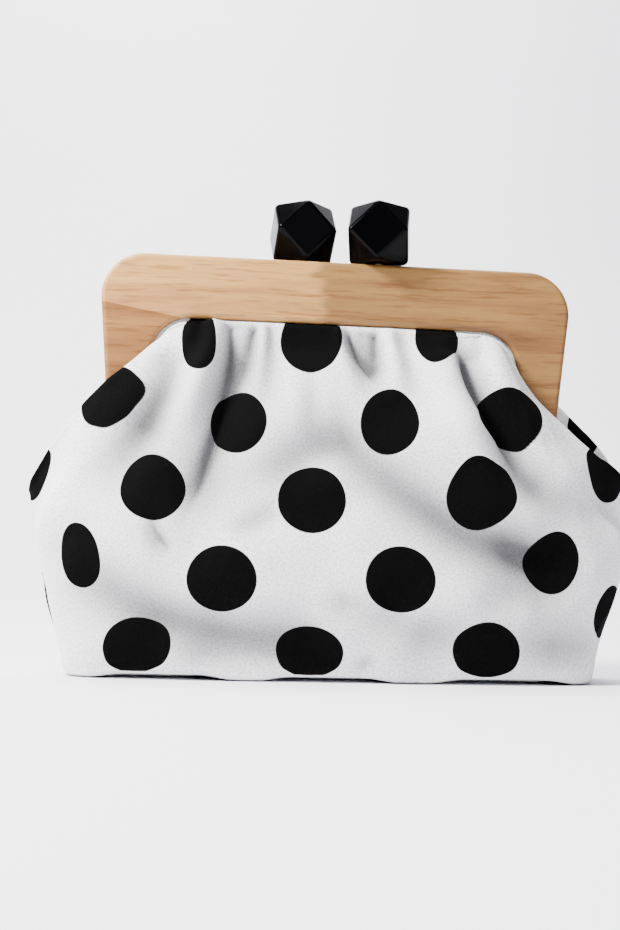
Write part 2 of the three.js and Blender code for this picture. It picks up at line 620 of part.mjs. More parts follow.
for (const spec of BEADS) {
  const mesh = named(`bead_${spec.name}`, bead(), ...BLACK);
  mesh.rotation.z = THREE.MathUtils.degToRad(spec.turn);
  addToFrame(mesh, beadX(spec), spec.half * halfMiddle, FRAME_TOP + spec.lift + BEAD_SIZE / 2);
  const post = rod(POST_DIAMETER, POST_IN_WOOD + spec.lift + POST_IN_BEAD, 16);
  const postMiddle = FRAME_TOP + (POST_IN_BEAD + spec.lift - POST_IN_WOOD) / 2;
  const dowel = named(`bead_post_${spec.name}`, post, ...BRASS);
  addToFrame(dowel, beadX(spec), spec.half * halfMiddle, postMiddle);
}

for (const [name, side] of [["hinge_left", LEFT], ["hinge_right", RIGHT]]) {
  const x = (side * (legOuterX(LEG_END_HEIGHT) + legInnerX(LEG_END_HEIGHT))) / 2;
  addToFrame(named(name, hinge(), ...BRASS), x, 0, LEG_END_HEIGHT - CLEARANCE - HINGE_PLATE / 2);
}

clutch.add(named("pouch_front", panel(FRONT), ...CLOTH));
clutch.add(named("pouch_back", panel(BACK), ...CLOTH));

export default clutch;
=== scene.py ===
# Builds the looks of a wood-framed, polka-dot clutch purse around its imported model, in metres.
import math

import bmesh
import bpy
import numpy as np
from mathutils import Matrix, Vector, noise


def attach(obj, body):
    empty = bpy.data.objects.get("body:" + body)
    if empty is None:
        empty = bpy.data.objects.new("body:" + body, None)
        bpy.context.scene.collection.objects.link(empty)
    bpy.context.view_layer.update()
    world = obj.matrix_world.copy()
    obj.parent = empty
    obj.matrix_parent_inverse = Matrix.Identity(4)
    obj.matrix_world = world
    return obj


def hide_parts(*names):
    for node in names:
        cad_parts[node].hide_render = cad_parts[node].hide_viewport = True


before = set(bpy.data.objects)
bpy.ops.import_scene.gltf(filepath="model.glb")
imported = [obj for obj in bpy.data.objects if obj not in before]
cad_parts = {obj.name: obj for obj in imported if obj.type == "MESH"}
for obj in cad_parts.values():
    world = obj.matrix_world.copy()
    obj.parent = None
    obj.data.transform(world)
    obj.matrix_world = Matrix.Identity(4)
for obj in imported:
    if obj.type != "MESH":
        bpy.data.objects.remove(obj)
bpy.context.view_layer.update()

bl_info = {
    "name": "Wooden clutch purse",
    "version": (1, 0, 0),
    "blender": (4, 5, 0),
    "location": "View3D > Sidebar > Clutch",
    "description": "Builds a gathered cloth purse with a wooden frame and two faceted beads",
    "category": "Add Mesh",
}

MM = 0.001
FRONT = -1
BACK = 1

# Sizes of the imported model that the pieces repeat, in millimetres.
FRAME_WIDTH = 213.0
FRAME_TOP = 187.1
BAR_HEIGHT = 28.4
BAR_BOTTOM = FRAME_TOP - BAR_HEIGHT
HALF_THICKNESS = 9.0
HALVES_GAP = 0.4
HALF_MIDDLE = (HALVES_GAP + HALF_THICKNESS) / 2
WOOD_FACE = HALVES_GAP / 2 + HALF_THICKNESS
LEG_WIDTH = 20.5
LEG_TAPER = math.radians(5.4)
LEG_END_HEIGHT = 88.0
LEG_END_RADIUS = 4.0
OUTER_CORNER_RADIUS = 19.5
INNER_CORNER_RADIUS = 18.0
FRAME_LEAN = math.radians(0.8)
CLEARANCE = 0.3
CLOTH_WALL = 1.5
GROOVE_DEPTH = 5.0
HINGE_DROP = CLEARANCE + 1.2 + 3.6 / 2
POUCH_WIDTH = 274.0
POUCH_DEPTH = 91.0
EAR_HEIGHT = 86.0
EAR_ROUNDING = 1.2
EAR_SLACK = 12.0
BASE_WIDTH = 229.0
BASE_DEPTH = 61.0
BASE_SQUARE = 4.6
BASE_SEAM_SHARE = 0.88
SHOULDER_STAND = 15.0
CLOTH_OFF_WOOD = 2.6
BAR_SHARE = 0.6
ROUND_SHARE = 0.9
ROUND_FULLNESS = 0.7
RIDGE_DROP = 0.115
BEAD_SPACING = 34.7
BEAD_PAIR_SHIFT = 1.0
FOLD_GROWTH = 1.35
CRUMPLE_SIZE = 21.0
CRUMPLE_DEPTH = 1.9
# LAP_SHADE is the strength of the painted shadow beside a lap.
LAP_SHADE = 0.3
DRAWN_THREAD = 0.0009
# Where the base's edge stands off the table: middle, half width and height, in millimetres.
BASE_LIFTS = ((-74.0, 32.0, 2.0), (-2.5, 31.0, 1.8), (74.0, 34.0, 2.0))
DOT_EDGE = 0.0003


def linear(hex_colour):
    """An sRGB hex colour as linear red, green, blue and alpha."""
    parts = [int(hex_colour[i : i + 2], 16) / 255 for i in (1, 3, 5)]
    return [c / 12.92 if c <= 0.04045 else ((c + 0.055) / 1.055) ** 2.4 for c in parts] + [1.0]


def add_node(tree, kind, settings=None, inputs=None):
    """Adds a node with its properties. `inputs` holds sockets to link from, or plain values."""
    node = tree.nodes.new(kind)
    for name, value in (settings or {}).items():
        setattr(node, name, value)
    for name, value in (inputs or {}).items():
        if isinstance(value, bpy.types.NodeSocket):
            tree.links.new(value, node.inputs[name])
        else:
            node.inputs[name].default_value = value
    return node


def new_material(name):
    """An empty node material and its node tree."""
    material = bpy.data.materials.new(name)
    material.use_nodes = True
    material.node_tree.nodes.clear()
    return material, material.node_tree


# Rubberwood, sanded and oiled: pale straw boards glued from pieces of different tones, with short
# dark pores along the grain and a satin sheen.
def rubberwood(props):
    material, tree = new_material("sanded_rubberwood")
    place = add_node(tree, "ShaderNodeTexCoord").outputs["Object"]
    parts = add_node(tree, "ShaderNodeSeparateXYZ", None, {0: place})
    x, z = parts.outputs["X"], parts.outputs["Z"]
    # Growth bands run 10 to 15 mm apart and pores are 0.1 mm wide, drawn as streaks of about 1 mm.
    band_space = add_node(tree, "ShaderNodeMapping", {}, {"Vector": place, "Scale": (7.0, 60.0, 85.0)})
    bands = add_node(
        tree,
        "ShaderNodeTexNoise",
        {},
        {"Vector": band_space.outputs[0], "Scale": 1.0, "Detail": 5.0, "Roughness": 0.6, "Distortion": 0.8},
    ).outputs["Fac"]
    pore_space = add_node(tree, "ShaderNodeMapping", {}, {"Vector": place, "Scale": (60.0, 600.0, 900.0)})
    pores = add_node(
        tree,
        "ShaderNodeTexNoise",
        {},
        {"Vector": pore_space.outputs[0], "Scale": 1.0, "Detail": 3.0, "Roughness": 0.5},
    ).outputs["Fac"]
    ramp = add_node(tree, "ShaderNodeValToRGB", {}, {0: bands})
    ramp.color_ramp.elements[0].position = 0.32
    ramp.color_ramp.elements[0].color = linear(props.wood_dark_hex)
    ramp.color_ramp.elements[1].position = 0.6
    ramp.color_ramp.elements[1].color = linear(props.wood_pale_hex)

    # The bar's right piece is darker and redder from a ragged joint just left of the middle.
    ragged = add_node(
        tree, "ShaderNodeMath", {"operation": "MULTIPLY_ADD"}, {0: bands, 1: 0.03, 2: x}
    ).outputs[0]
    joint = add_node(
        tree,
        "ShaderNodeMapRange",
        {},
        {"Value": ragged, "From Min": 0.004, "From Max": 0.011},
    ).outputs[0]
    nearing = add_node(
        tree,
        "ShaderNodeMapRange",
        {},
        {"Value": ragged, "From Min": -0.08, "From Max": -0.01, "To Max": 0.35},
    ).outputs[0]
    tone = add_node(tree, "ShaderNodeMath", {"operation": "MAXIMUM"}, {0: joint, 1: nearing}).outputs[0]
    right = add_node(
        tree,
        "ShaderNodeMix",
        {"data_type": "RGBA", "blend_type": "MULTIPLY"},
        {0: tone, 6: ramp.outputs[0], 7: linear("#b0ada8")},
    ).outputs[2]
    # The left leg is a third piece, below a joint that slopes from the outer edge to the opening.
    slope = add_node(
        tree, "ShaderNodeMath", {"operation": "MULTIPLY_ADD"}, {0: x, 1: 0.18, 2: z}
    ).outputs[0]
    below = add_node(tree, "ShaderNodeMath", {"operation": "LESS_THAN"}, {0: slope, 1: 0.1466}).outputs[0]
    left = add_node(tree, "ShaderNodeMath", {"operation": "LESS_THAN"}, {0: x, 1: 0.0}).outputs[0]
    leg = add_node(tree, "ShaderNodeMath", {"operation": "MULTIPLY"}, {0: below, 1: left}).outputs[0]
    pieces = add_node(
        tree,
        "ShaderNodeMix",
        {"data_type": "RGBA", "blend_type": "MULTIPLY"},
        {0: leg, 6: right, 7: linear("#c4b8ae")},
    ).outputs[2]
    dark_pores = add_node(tree, "ShaderNodeValToRGB", {}, {0: pores})
    dark_pores.color_ramp.elements[0].position = 0.33
    dark_pores.color_ramp.elements[0].color = linear("#b08a68")
    dark_pores.color_ramp.elements[1].position = 0.46
    dark_pores.color_ramp.elements[1].color = (1.0, 1.0, 1.0, 1.0)
    colour = add_node(
        tree,
        "ShaderNodeMix",
        {"data_type": "RGBA", "blend_type": "MULTIPLY"},
        {0: 0.5, 6: pieces, 7: dark_pores.outputs[0]},
    ).outputs[2]
    relief = add_node(
        tree, "ShaderNodeBump", {}, {"Height": pores, "Strength": 0.12, "Distance": 0.0003}
    ).outputs[0]
    rough = add_node(
        tree, "ShaderNodeMath", {"operation": "MULTIPLY_ADD"}, {0: bands, 1: 0.15, 2: 0.42}
    ).outputs[0]
    shader = add_node(
        tree,
        "ShaderNodeBsdfPrincipled",
        {},
        {"Base Color": colour, "Roughness": rough, "Normal": relief, "Specular IOR Level": 0.3},
    )
    add_node(tree, "ShaderNodeOutputMaterial", {}, {"Surface": shader.outputs[0]})
    return material


# Cotton canvas, plain weave, printed with black dots: matt, with slubs in the thread. Its folds are
# painted grey, because the shade that light alone casts in them is too faint to show.
def printed_cotton(props):
    material, tree = new_material("printed_cotton_canvas")
    flat = add_node(tree, "ShaderNodeUVMap", {"uv_map": "cloth"}).outputs[0]
    # Rows of dots, every second row moved along by half a spacing.
    pitch = (props.dot_spacing, props.dot_row, 1.0)
    counted = add_node(tree, "ShaderNodeVectorMath", {"operation": "DIVIDE"}, {0: flat, 1: pitch}).outputs[0]
    parts = add_node(tree, "ShaderNodeSeparateXYZ", {}, {0: counted})
    row = add_node(tree, "ShaderNodeMath", {"operation": "ROUND"}, {0: parts.outputs["Y"]}).outputs[0]
    odd = add_node(tree, "ShaderNodeMath", {"operation": "PINGPONG"}, {0: row, 1: 1.0}).outputs[0]
    shifted = add_node(
        tree, "ShaderNodeVectorMath", {"operation": "MULTIPLY_ADD"}, {0: odd, 1: (0.5, 0.0, 0.0), 2: counted}
    ).outputs[0]
    nearest = add_node(
        tree,
        "ShaderNodeVectorMath",
        {"operation": "WRAP"},
        {0: shifted, 1: (0.5, 0.5, 0.5), 2: (-0.5, -0.5, -0.5)},
    ).outputs[0]
    away = add_node(tree, "ShaderNodeVectorMath", {"operation": "MULTIPLY"}, {0: nearest, 1: pitch}).outputs[0]
    away = add_node(tree, "ShaderNodeVectorMath", {"operation": "LENGTH"}, {0: away})
    ink = add_node(
        tree,
        "ShaderNodeMapRange",
        {},
        {
            "Value": away.outputs["Value"],
            "From Min": props.dot_diameter / 2,
            "From Max": props.dot_diameter / 2 - DOT_EDGE,
        },
    ).outputs[0]
    # Threads lie 0.45 mm apart, drawn at twice that because a real thread is under a pixel.
    turns = add_node(
        tree, "ShaderNodeVectorMath", {"operation": "SCALE"}, {0: flat, 3: 2 * math.pi / DRAWN_THREAD}
    ).outputs[0]
    waves = add_node(tree, "ShaderNodeVectorMath", {"operation": "SINE"}, {0: turns}).outputs[0]
    threads = add_node(tree, "ShaderNodeSeparateXYZ", {}, {0: waves})
    crossed = add_node(
        tree,
        "ShaderNodeMath",
        {"operation": "MULTIPLY"},
        {0: threads.outputs["X"], 1: threads.outputs["Y"]},
    ).outputs[0]
    slub = add_node(tree, "ShaderNodeTexNoise", {}, {"Vector": flat, "Scale": 900.0, "Detail": 2.0}).outputs[0]
    weave = add_node(
        tree, "ShaderNodeMath", {"operation": "MULTIPLY_ADD"}, {0: slub, 1: 2.0, 2: crossed}
    ).outputs[0]
    relief = add_node(
        tree,
        "ShaderNodeBump",
        {},
        {"Height": weave, "Strength": 0.5, "Distance": 0.0002},
    ).outputs[0]
    # Painted shade: the ground turns to the fold shade colour where the folds are deep and beside laps.
    painted_shade = add_node(tree, "ShaderNodeAttribute", {"attribute_name": "painted_shade"}).outputs["Fac"]
    ground = add_node(
        tree,
        "ShaderNodeMix",
        {"data_type": "RGBA"},
        {0: painted_shade, 6: linear(props.cloth_colour_hex), 7: linear(props.fold_shade_hex)},
    ).outputs[2]
    thread_tone = add_node(
        tree, "ShaderNodeMath", {"operation": "MULTIPLY_ADD", "use_clamp": True}, {0: slub, 1: 1.8, 2: -0.7}
    ).outputs[0]
    ground = add_node(
        tree,
        "ShaderNodeMix",
        {"data_type": "RGBA", "blend_type": "MULTIPLY"},
        {0: thread_tone, 6: ground, 7: linear("#a9a9ad")},
    ).outputs[2]
    colour = add_node(
        tree,
        "ShaderNodeMix",
        {"data_type": "RGBA"},
        {0: ink, 6: ground, 7: linear(props.dot_colour_hex)},
    ).outputs[2]
    shader = add_node(
        tree,
        "ShaderNodeBsdfPrincipled",
        {},
        {"Base Color": colour, "Roughness": 0.9, "Specular IOR Level": 0.05, "Normal": relief},
    )
    add_node(tree, "ShaderNodeOutputMaterial", {}, {"Surface": shader.outputs[0]})
    return material


# Cast acrylic, tumbled to a high polish: black through, mirror-like facets with faint ripples.
def black_acrylic(props):
    material, tree = new_material("polished_black_acrylic")
    place = add_node(tree, "ShaderNodeTexCoord").outputs["Object"]
    ripple = add_node(
        tree, "ShaderNodeTexNoise", {}, {"Vector": place, "Scale": 120.0, "Detail": 1.0}
    ).outputs[0]
    relief = add_node(
        tree, "ShaderNodeBump", {}, {"Height": ripple, "Strength": 0.06, "Distance": 0.0004}
    ).outputs[0]
    rough = add_node(
        tree, "ShaderNodeMath", {"operation": "MULTIPLY_ADD"}, {0: ripple, 1: 0.1, 2: 0.06}
    ).outputs[0]
    shader = add_node(
        tree,
        "ShaderNodeBsdfPrincipled",
        {},
        {
            "Base Color": linear(props.bead_colour_hex),
            "Roughness": rough,
            "Normal": relief,
            "Specular IOR Level": 0.04,
        },
    )
    add_node(tree, "ShaderNodeOutputMaterial", {}, {"Surface": shader.outputs[0]})
    return material


# Rolled brass, brushed along its length: dull gold with fine scratches.
def brushed_brass():
    material, tree = new_material("brushed_brass")
    place = add_node(tree, "ShaderNodeTexCoord").outputs["Object"]
    lines = add_node(tree, "ShaderNodeMapping", {}, {"Vector": place, "Scale": (80.0, 2500.0, 2500.0)})
    scratch = add_node(
        tree, "ShaderNodeTexNoise", {}, {"Vector": lines.outputs[0], "Scale": 1.0, "Detail": 2.0}
    ).outputs[0]
    colour = add_node(
        tree,
        "ShaderNodeMix",
        {"data_type": "RGBA"},
        {0: scratch, 6: linear("#a8843f"), 7: linear("#c9a662")},
    ).outputs[2]
    rough = add_node(
        tree, "ShaderNodeMath", {"operation": "MULTIPLY_ADD"}, {0: scratch, 1: 0.2, 2: 0.25}
    ).outputs[0]
    shader = add_node(
        tree, "ShaderNodeBsdfPrincipled", {}, {"Base Color": colour, "Roughness": rough, "Metallic": 1.0}
    )
    add_node(tree, "ShaderNodeOutputMaterial", {}, {"Surface": shader.outputs[0]})
    return material


# Seamless paper sweep: matt, very pale, a little uneven.
def paper_sweep(props):
    material, tree = new_material("seamless_paper")
    place = add_node(tree, "ShaderNodeTexCoord").outputs["Object"]
    cloud = add_node(tree, "ShaderNodeTexNoise", {}, {"Vector": place, "Scale": 2.0, "Detail": 1.0}).outputs[0]
    colour = add_node(
        tree,
        "ShaderNodeMix",
        {"data_type": "RGBA"},
        {0: cloud, 6: linear(props.paper_colour_hex), 7: linear("#f1f1f6")},
    ).outputs[2]
    shader = add_node(
        tree,
        "ShaderNodeBsdfPrincipled",
        {},
        {"Base Color": colour, "Roughness": 0.9, "Specular IOR Level": 0.1},
    )
    add_node(tree, "ShaderNodeOutputMaterial", {}, {"Surface": shader.outputs[0]})
    return material


def leaned(x, z):
    """Where points of the upright frame lie once the frame leans on its soft pouch."""
    up = z - BAR_BOTTOM
    cos = math.cos(FRAME_LEAN)
    sin = math.sin(FRAME_LEAN)
    return x * cos + up * sin, BAR_BOTTOM - x * sin + up * cos


def leg_outer(z):
    return FRAME_WIDTH / 2 - math.tan(LEG_TAPER) * (FRAME_TOP - OUTER_CORNER_RADIUS - z)


def leg_inner(z, outset=0.0):
    return leg_outer(z) - (LEG_WIDTH - outset) / math.cos(LEG_TAPER)


def rounded_outline(corners, steps):
    """Points of a polygon whose corners (x, z, radius) are rounded by arcs."""
    points = []
    for i, (x, z, radius) in enumerate(corners):
        corner = Vector((x, z))
        back = (Vector(corners[i - 1][:2]) - corner).normalized()
        ahead = (Vector(corners[(i + 1) % len(corners)][:2]) - corner).normalized()
        half = back.angle(ahead) / 2
        centre = corner + (back + ahead).normalized() * (radius / math.sin(half))
        start = corner + back * (radius / math.tan(half)) - centre
        end = corner + ahead * (radius / math.tan(half)) - centre
        turn = start.angle_signed(end)
        for k in range(steps + 1):
            points.append(centre + Matrix.Rotation(-turn * k / steps, 2) @ start)
    return points


def link(name, mesh):
    piece = bpy.data.objects.new(name, mesh)
    bpy.context.scene.collection.objects.link(piece)
    return piece


def board(name, outline, thickness):
    """A board with its outline in X and Z, centred on y = 0, as an object in metres."""
    bm = bmesh.new()
    front = [bm.verts.new((x * MM, -thickness / 2 * MM, z * MM)) for x, z in outline]
    face = bm.faces.new(front)
    grown = bmesh.ops.extrude_face_region(bm, geom=[face])["geom"]
    moved = [v for v in grown if isinstance(v, bmesh.types.BMVert)]
    bmesh.ops.translate(bm, verts=moved, vec=(0, thickness * MM, 0))
    bmesh.ops.recalc_face_normals(bm, faces=bm.faces)
    mesh = bpy.data.meshes.new(name)
    bm.to_mesh(mesh)
    bm.free()
    return link(name, mesh)


def applied(piece):
    """The piece with its modifiers turned into a plain mesh."""
    graph = bpy.context.evaluated_depsgraph_get()
    mesh = bpy.data.meshes.new_from_object(piece.evaluated_get(graph))
    piece.modifiers.clear()
    old = piece.data
    piece.data = mesh
    bpy.data.meshes.remove(old)
    return piece


def smooth_shaded(piece, sharp_degrees):
    mesh = piece.data
    mesh.polygons.foreach_set("use_smooth", [True] * len(mesh.polygons))
    mesh.set_sharp_from_angle(angle=math.radians(sharp_degrees))


def frame_half(name, half, material):
    """One half of the wooden frame, with the groove that holds the cloth's hem."""
    foot = LEG_END_HEIGHT
    right = [
        (leg_inner(foot), foot, LEG_END_RADIUS),
        (leg_outer(foot), foot, LEG_END_RADIUS),
        (leg_outer(FRAME_TOP), FRAME_TOP, OUTER_CORNER_RADIUS),
    ]
    inner = (leg_inner(BAR_BOTTOM), BAR_BOTTOM, INNER_CORNER_RADIUS)
    left = [(-x, z, r) for x, z, r in reversed(right)]
    corners = right + left + [(-inner[0], inner[1], inner[2]), inner]
    piece = board(name, rounded_outline(corners, 20), HALF_THICKNESS)
    edge = piece.modifiers.new("edge", "BEVEL")
    edge.width = 2.0 * MM
    edge.segments = 5
    edge.limit_method = "ANGLE"
    edge.angle_limit = math.radians(50)

    top = BAR_BOTTOM + GROOVE_DEPTH
    low = foot - GROOVE_DEPTH
    slot = [
        (leg_inner(low, GROOVE_DEPTH), low, CLEARANCE),
        (leg_inner(top, GROOVE_DEPTH), top, INNER_CORNER_RADIUS + GROOVE_DEPTH),
    ]
    slot += [(-x, z, r) for x, z, r in reversed(slot)]
    cutter = board("groove", rounded_outline(slot, 20), CLOTH_WALL + 2 * CLEARANCE)
    groove = piece.modifiers.new("groove", "BOOLEAN")
    groove.object = cutter
    groove.solver = "EXACT"
    even = piece.modifiers.new("even", "WEIGHTED_NORMAL")
    even.keep_sharp = True
    smooth_shaded(piece, 60)
    applied(piece)
    bpy.data.objects.remove(cutter)
    place_on_frame(piece, 0, half * HALF_MIDDLE, 0, 0)
    piece.data.materials.clear()
    piece.data.materials.append(material)
    return piece


def place_on_frame(piece, x, y, z, turn):
    """Moves a piece's mesh from its own middle to its place on the leaning frame."""
    pivot = Vector((0, 0, BAR_BOTTOM * MM))
    tilt = Matrix.Translation(pivot) @ Matrix.Rotation(FRAME_LEAN, 4, "Y") @ Matrix.Translation(-pivot)
    spot = Matrix.Translation(Vector((x, y, z)) * MM)
    piece.data.transform(tilt @ spot @ Matrix.Rotation(math.radians(turn), 4, "Z"))


def bead_tree(material):
    """Geometry Nodes: a cube cut to its edge middles, with rounded edges, as a hull of small balls."""
    tree = bpy.data.node_groups.new("Faceted bead", "GeometryNodeTree")
    tree.interface.new_socket("Size", in_out="INPUT", socket_type="NodeSocketFloat")
    tree.interface.new_socket("Edge radius", in_out="INPUT", socket_type="NodeSocketFloat")
    tree.interface.new_socket("Geometry", in_out="OUTPUT", socket_type="NodeSocketGeometry")
    given = add_node(tree, "NodeGroupInput")
    size, radius = given.outputs[0], given.outputs[1]
    side = add_node(
        tree, "ShaderNodeMath", {"operation": "MULTIPLY_ADD"}, {0: radius, 1: -2.0, 2: size}
    ).outputs[0]
    sides = add_node(tree, "ShaderNodeCombineXYZ", {}, {0: side, 1: side, 2: side})
    cube = add_node(tree, "GeometryNodeMeshCube", {}, {"Size": sides.outputs[0]})
    middles = add_node(tree, "GeometryNodeMeshToPoints", {"mode": "EDGES"}, {"Mesh": cube.outputs[0]})
    ball = add_node(tree, "GeometryNodeMeshIcoSphere", {}, {"Radius": radius, "Subdivisions": 4})
    balls = add_node(
        tree,
        "GeometryNodeInstanceOnPoints",
        {},
        {"Points": middles.outputs[0], "Instance": ball.outputs[0]},
    )
    real = add_node(tree, "GeometryNodeRealizeInstances", {}, {0: balls.outputs[0]})
    hull = add_node(tree, "GeometryNodeConvexHull", {}, {0: real.outputs[0]})
    rounded = add_node(tree, "GeometryNodeSetShadeSmooth", {}, {"Geometry": hull.outputs[0]})
    painted = add_node(
        tree, "GeometryNodeSetMaterial", {}, {"Geometry": rounded.outputs[0], "Material": material}
    )
    add_node(tree, "NodeGroupOutput", {}, {0: painted.outputs[0]})
    return tree


def faceted_bead(name, tree, size, edge_radius):
    piece = link(name, bpy.data.meshes.new(name))
    nodes = piece.modifiers.new("bead", "NODES")
    nodes.node_group = tree
    sockets = {s.name: s.identifier for s in tree.interface.items_tree if s.in_out == "INPUT"}
    nodes[sockets["Size"]] = size
    nodes[sockets["Edge radius"]] = edge_radius
    even = piece.modifiers.new("even", "WEIGHTED_NORMAL")
    even.weight = 90
    return applied(piece)


def smooth(low, high, value):
    t = np.clip((value - low) / (high - low), 0, 1)
    return t * t * (3 - 2 * t)


def mix(start, end, share):
    return start + (end - start) * share


# Shoulder table: the ridge of each panel from the bar's corner out to the ear. The first column is
# the share of the way out, the others are shares of the height between the ears and the bar.
SHOULDERS = np.array(
    [
        # out, front left, front right, back left, back right
        (0.0, 0.96, 0.96, 0.96, 0.96),
        (0.125, 0.9, 0.88, 0.93, 0.95),
        (0.25, 0.81, 0.66, 0.85, 0.87),
        (0.375, 0.7, 0.52, 0.74, 0.77),
        (0.5, 0.6, 0.41, 0.62, 0.65),
        (0.625, 0.465, 0.305, 0.5, 0.53),
        (0.75, 0.3, 0.207, 0.36, 0.4),
        (0.875, 0.11, 0.13, 0.17, 0.24),
        (1.0, -0.06, 0.05, -0.06, 0.05),
    ]
)

# Body table, from the belly down: shares of the ear height, of the pouch's width and depth, and how
# square the section is in plan.
BODY = ((0.67, 0.96, 1.0, 3.2), (0.28, 0.897, 0.95, 3.6), (0.055, 0.858, 0.76, 4.2))

# Front profile between the shoulder ridge and the belly: share of the way down, share of the way out.
PROFILE = ((0.1, 0.22), (0.3, 0.5), (0.6, 0.78))

# Fold tables: start, middle and end point as shares of half the pouch's width and of the bar's
# height, widths at both ends, depths at start, middle and end (a valley is negative), and how far
# the cloth left of the fold laps over the cloth right of it. Widths, depths and laps in mm.
FRONT_FOLDS = (
    # pleats that start under the bar, from left to right
    ((-0.449, 1.0), (-0.447, 0.93), (-0.45, 0.85), (2.4, 6.0), (-0.6, -1.2, 0.0), 0),
    ((-0.41, 1.0), (-0.455, 0.8), (-0.56, 0.6), (4.0, 8.0), (1.5, 3.0, 0.8), 0),
    ((-0.352, 1.0), (-0.37, 0.72), (-0.53, 0.38), (2.2, 16.0), (-2.2, -3.9, -1.6), 0),
    ((-0.36, 0.8), (-0.41, 0.62), (-0.5, 0.42), (3.0, 4.0), (0.0, -1.6, 0.0), 0.5),
    ((-0.31, 0.98), (-0.315, 0.86), (-0.35, 0.72), (5.0, 9.0), (-1.2, -2.0, 0.0), 0),
    ((-0.27, 1.0), (-0.275, 0.93), (-0.3, 0.8), (1.8, 4.5), (-2.6, -2.4, 0.0), 0),
    ((-0.243, 1.0), (-0.25, 0.9), (-0.27, 0.76), (1.8, 5.0), (1.2, 1.4, 0.0), 0),
    ((-0.215, 1.0), (-0.215, 0.86), (-0.23, 0.68), (2.5, 9.0), (-0.8, -1.4, 0.0), 0),
    ((-0.092, 0.88), (-0.088, 0.75), (-0.095, 0.6), (4.0, 7.0), (0.0, -1.3, 0.0), 0),
    ((0.0, 1.0), (0.03, 0.9), (0.06, 0.76), (2.6, 6.0), (1.4, 1.6, 0.0), 0),
    ((0.028, 1.0), (0.06, 0.9), (0.15, 0.77), (1.4, 10.0), (-2.2, -2.6, 0.0), 0.4),
    ((0.095, 1.0), (0.1, 0.92), (0.13, 0.82), (4.0, 6.0), (-1.4, -2.0, 0.0), 0),
    ((0.128, 1.0), (0.13, 0.93), (0.142, 0.84), (1.8, 4.5), (-2.8, -2.4, 0.0), 0),
    ((0.17, 1.0), (0.18, 0.9), (0.21, 0.78), (2.6, 6.0), (1.5, 1.8, 0.0), 0),
    ((0.22, 1.0), (0.23, 0.88), (0.26, 0.76), (2.6, 6.0), (-0.6, -1.2, 0.0), 0),
    ((0.33, 0.86), (0.4, 0.7), (0.52, 0.54), (7.0, 8.0), (0.0, 2.0, 0.5), 0),
    ((0.39, 0.94), (0.435, 0.765), (0.6, 0.54), (5.0, 7.0), (0.0, 0.0, 0.0), 2.4),
    ((0.41, 0.97), (0.438, 0.83), (0.62, 0.56), (5.5, 9.0), (-1.6, -3.6, -1.5), 0),
    ((0.466, 1.0), (0.462, 0.95), (0.45, 0.89), (2.2, 4.0), (-0.6, -1.0, 0.0), 0),
    ((0.53, 1.0), (0.53, 0.88), (0.58, 0.76), (4.0, 6.0), (1.0, 1.8, 0.0), 0),
    # broad folds of the belly
    ((-0.545, 0.86), (-0.62, 0.69), (-0.76, 0.48), (8.0, 15.0), (-3.0, -5.0, 0.0), 0),
    ((-0.56, 0.72), (-0.62, 0.56), (-0.68, 0.42), (7.0, 12.0), (0.5, 1.6, 0.0), 0),
    ((-0.6, 0.44), (-0.565, 0.375), (-0.515, 0.335), (3.4, 4.0), (0.0, -1.4, 0.0), 0.3),
    ((0.0, 0.68), (0.3, 0.46), (0.67, 0.31), (11.0, 14.0), (-2.4, -4.4, -4.2), 0),
    ((0.0, 0.66), (-0.13, 0.6), (-0.34, 0.5), (9.0, 11.0), (-1.4, -2.8, -0.8), 0),
    ((0.45, 0.46), (0.62, 0.36), (0.82, 0.34), (8.0, 9.0), (0.0, -1.8, 0.0), 0),
    ((0.5, 0.66), (0.64, 0.53), (0.86, 0.5), (8.0, 10.0), (-1.0, -2.4, -1.2), 0),
    ((-0.16, 0.46), (-0.25, 0.43), (-0.34, 0.38), (5.0, 6.0), (0.0, -1.8, 0.0), 0),
    ((-0.84, 0.34), (-0.56, 0.165), (-0.12, 0.1), (13.0, 14.0), (-1.8, -4.6, -4.0), 0),
    ((0.06, 0.2), (0.27, 0.14), (0.48, 0.12), (10.0, 12.0), (-0.6, -2.8, -0.6), 0),
    ((-0.06, 0.2), (0.02, 0.215), (0.1, 0.19), (6.0, 6.0), (0.0, -1.4, 0.0), 0),
    ((0.42, 0.19), (0.54, 0.24), (0.68, 0.22), (6.0, 7.0), (0.0, -1.0, 0.0), 0),
    ((0.56, 0.15), (0.7, 0.11), (0.86, 0.13), (11.0, 11.0), (-0.8, -3.0, -1.0), 0),
    ((0.07, 0.02), (0.09, 0.05), (0.12, 0.085), (2.5, 4.0), (-1.0, -1.6, 0.0), 0),
)
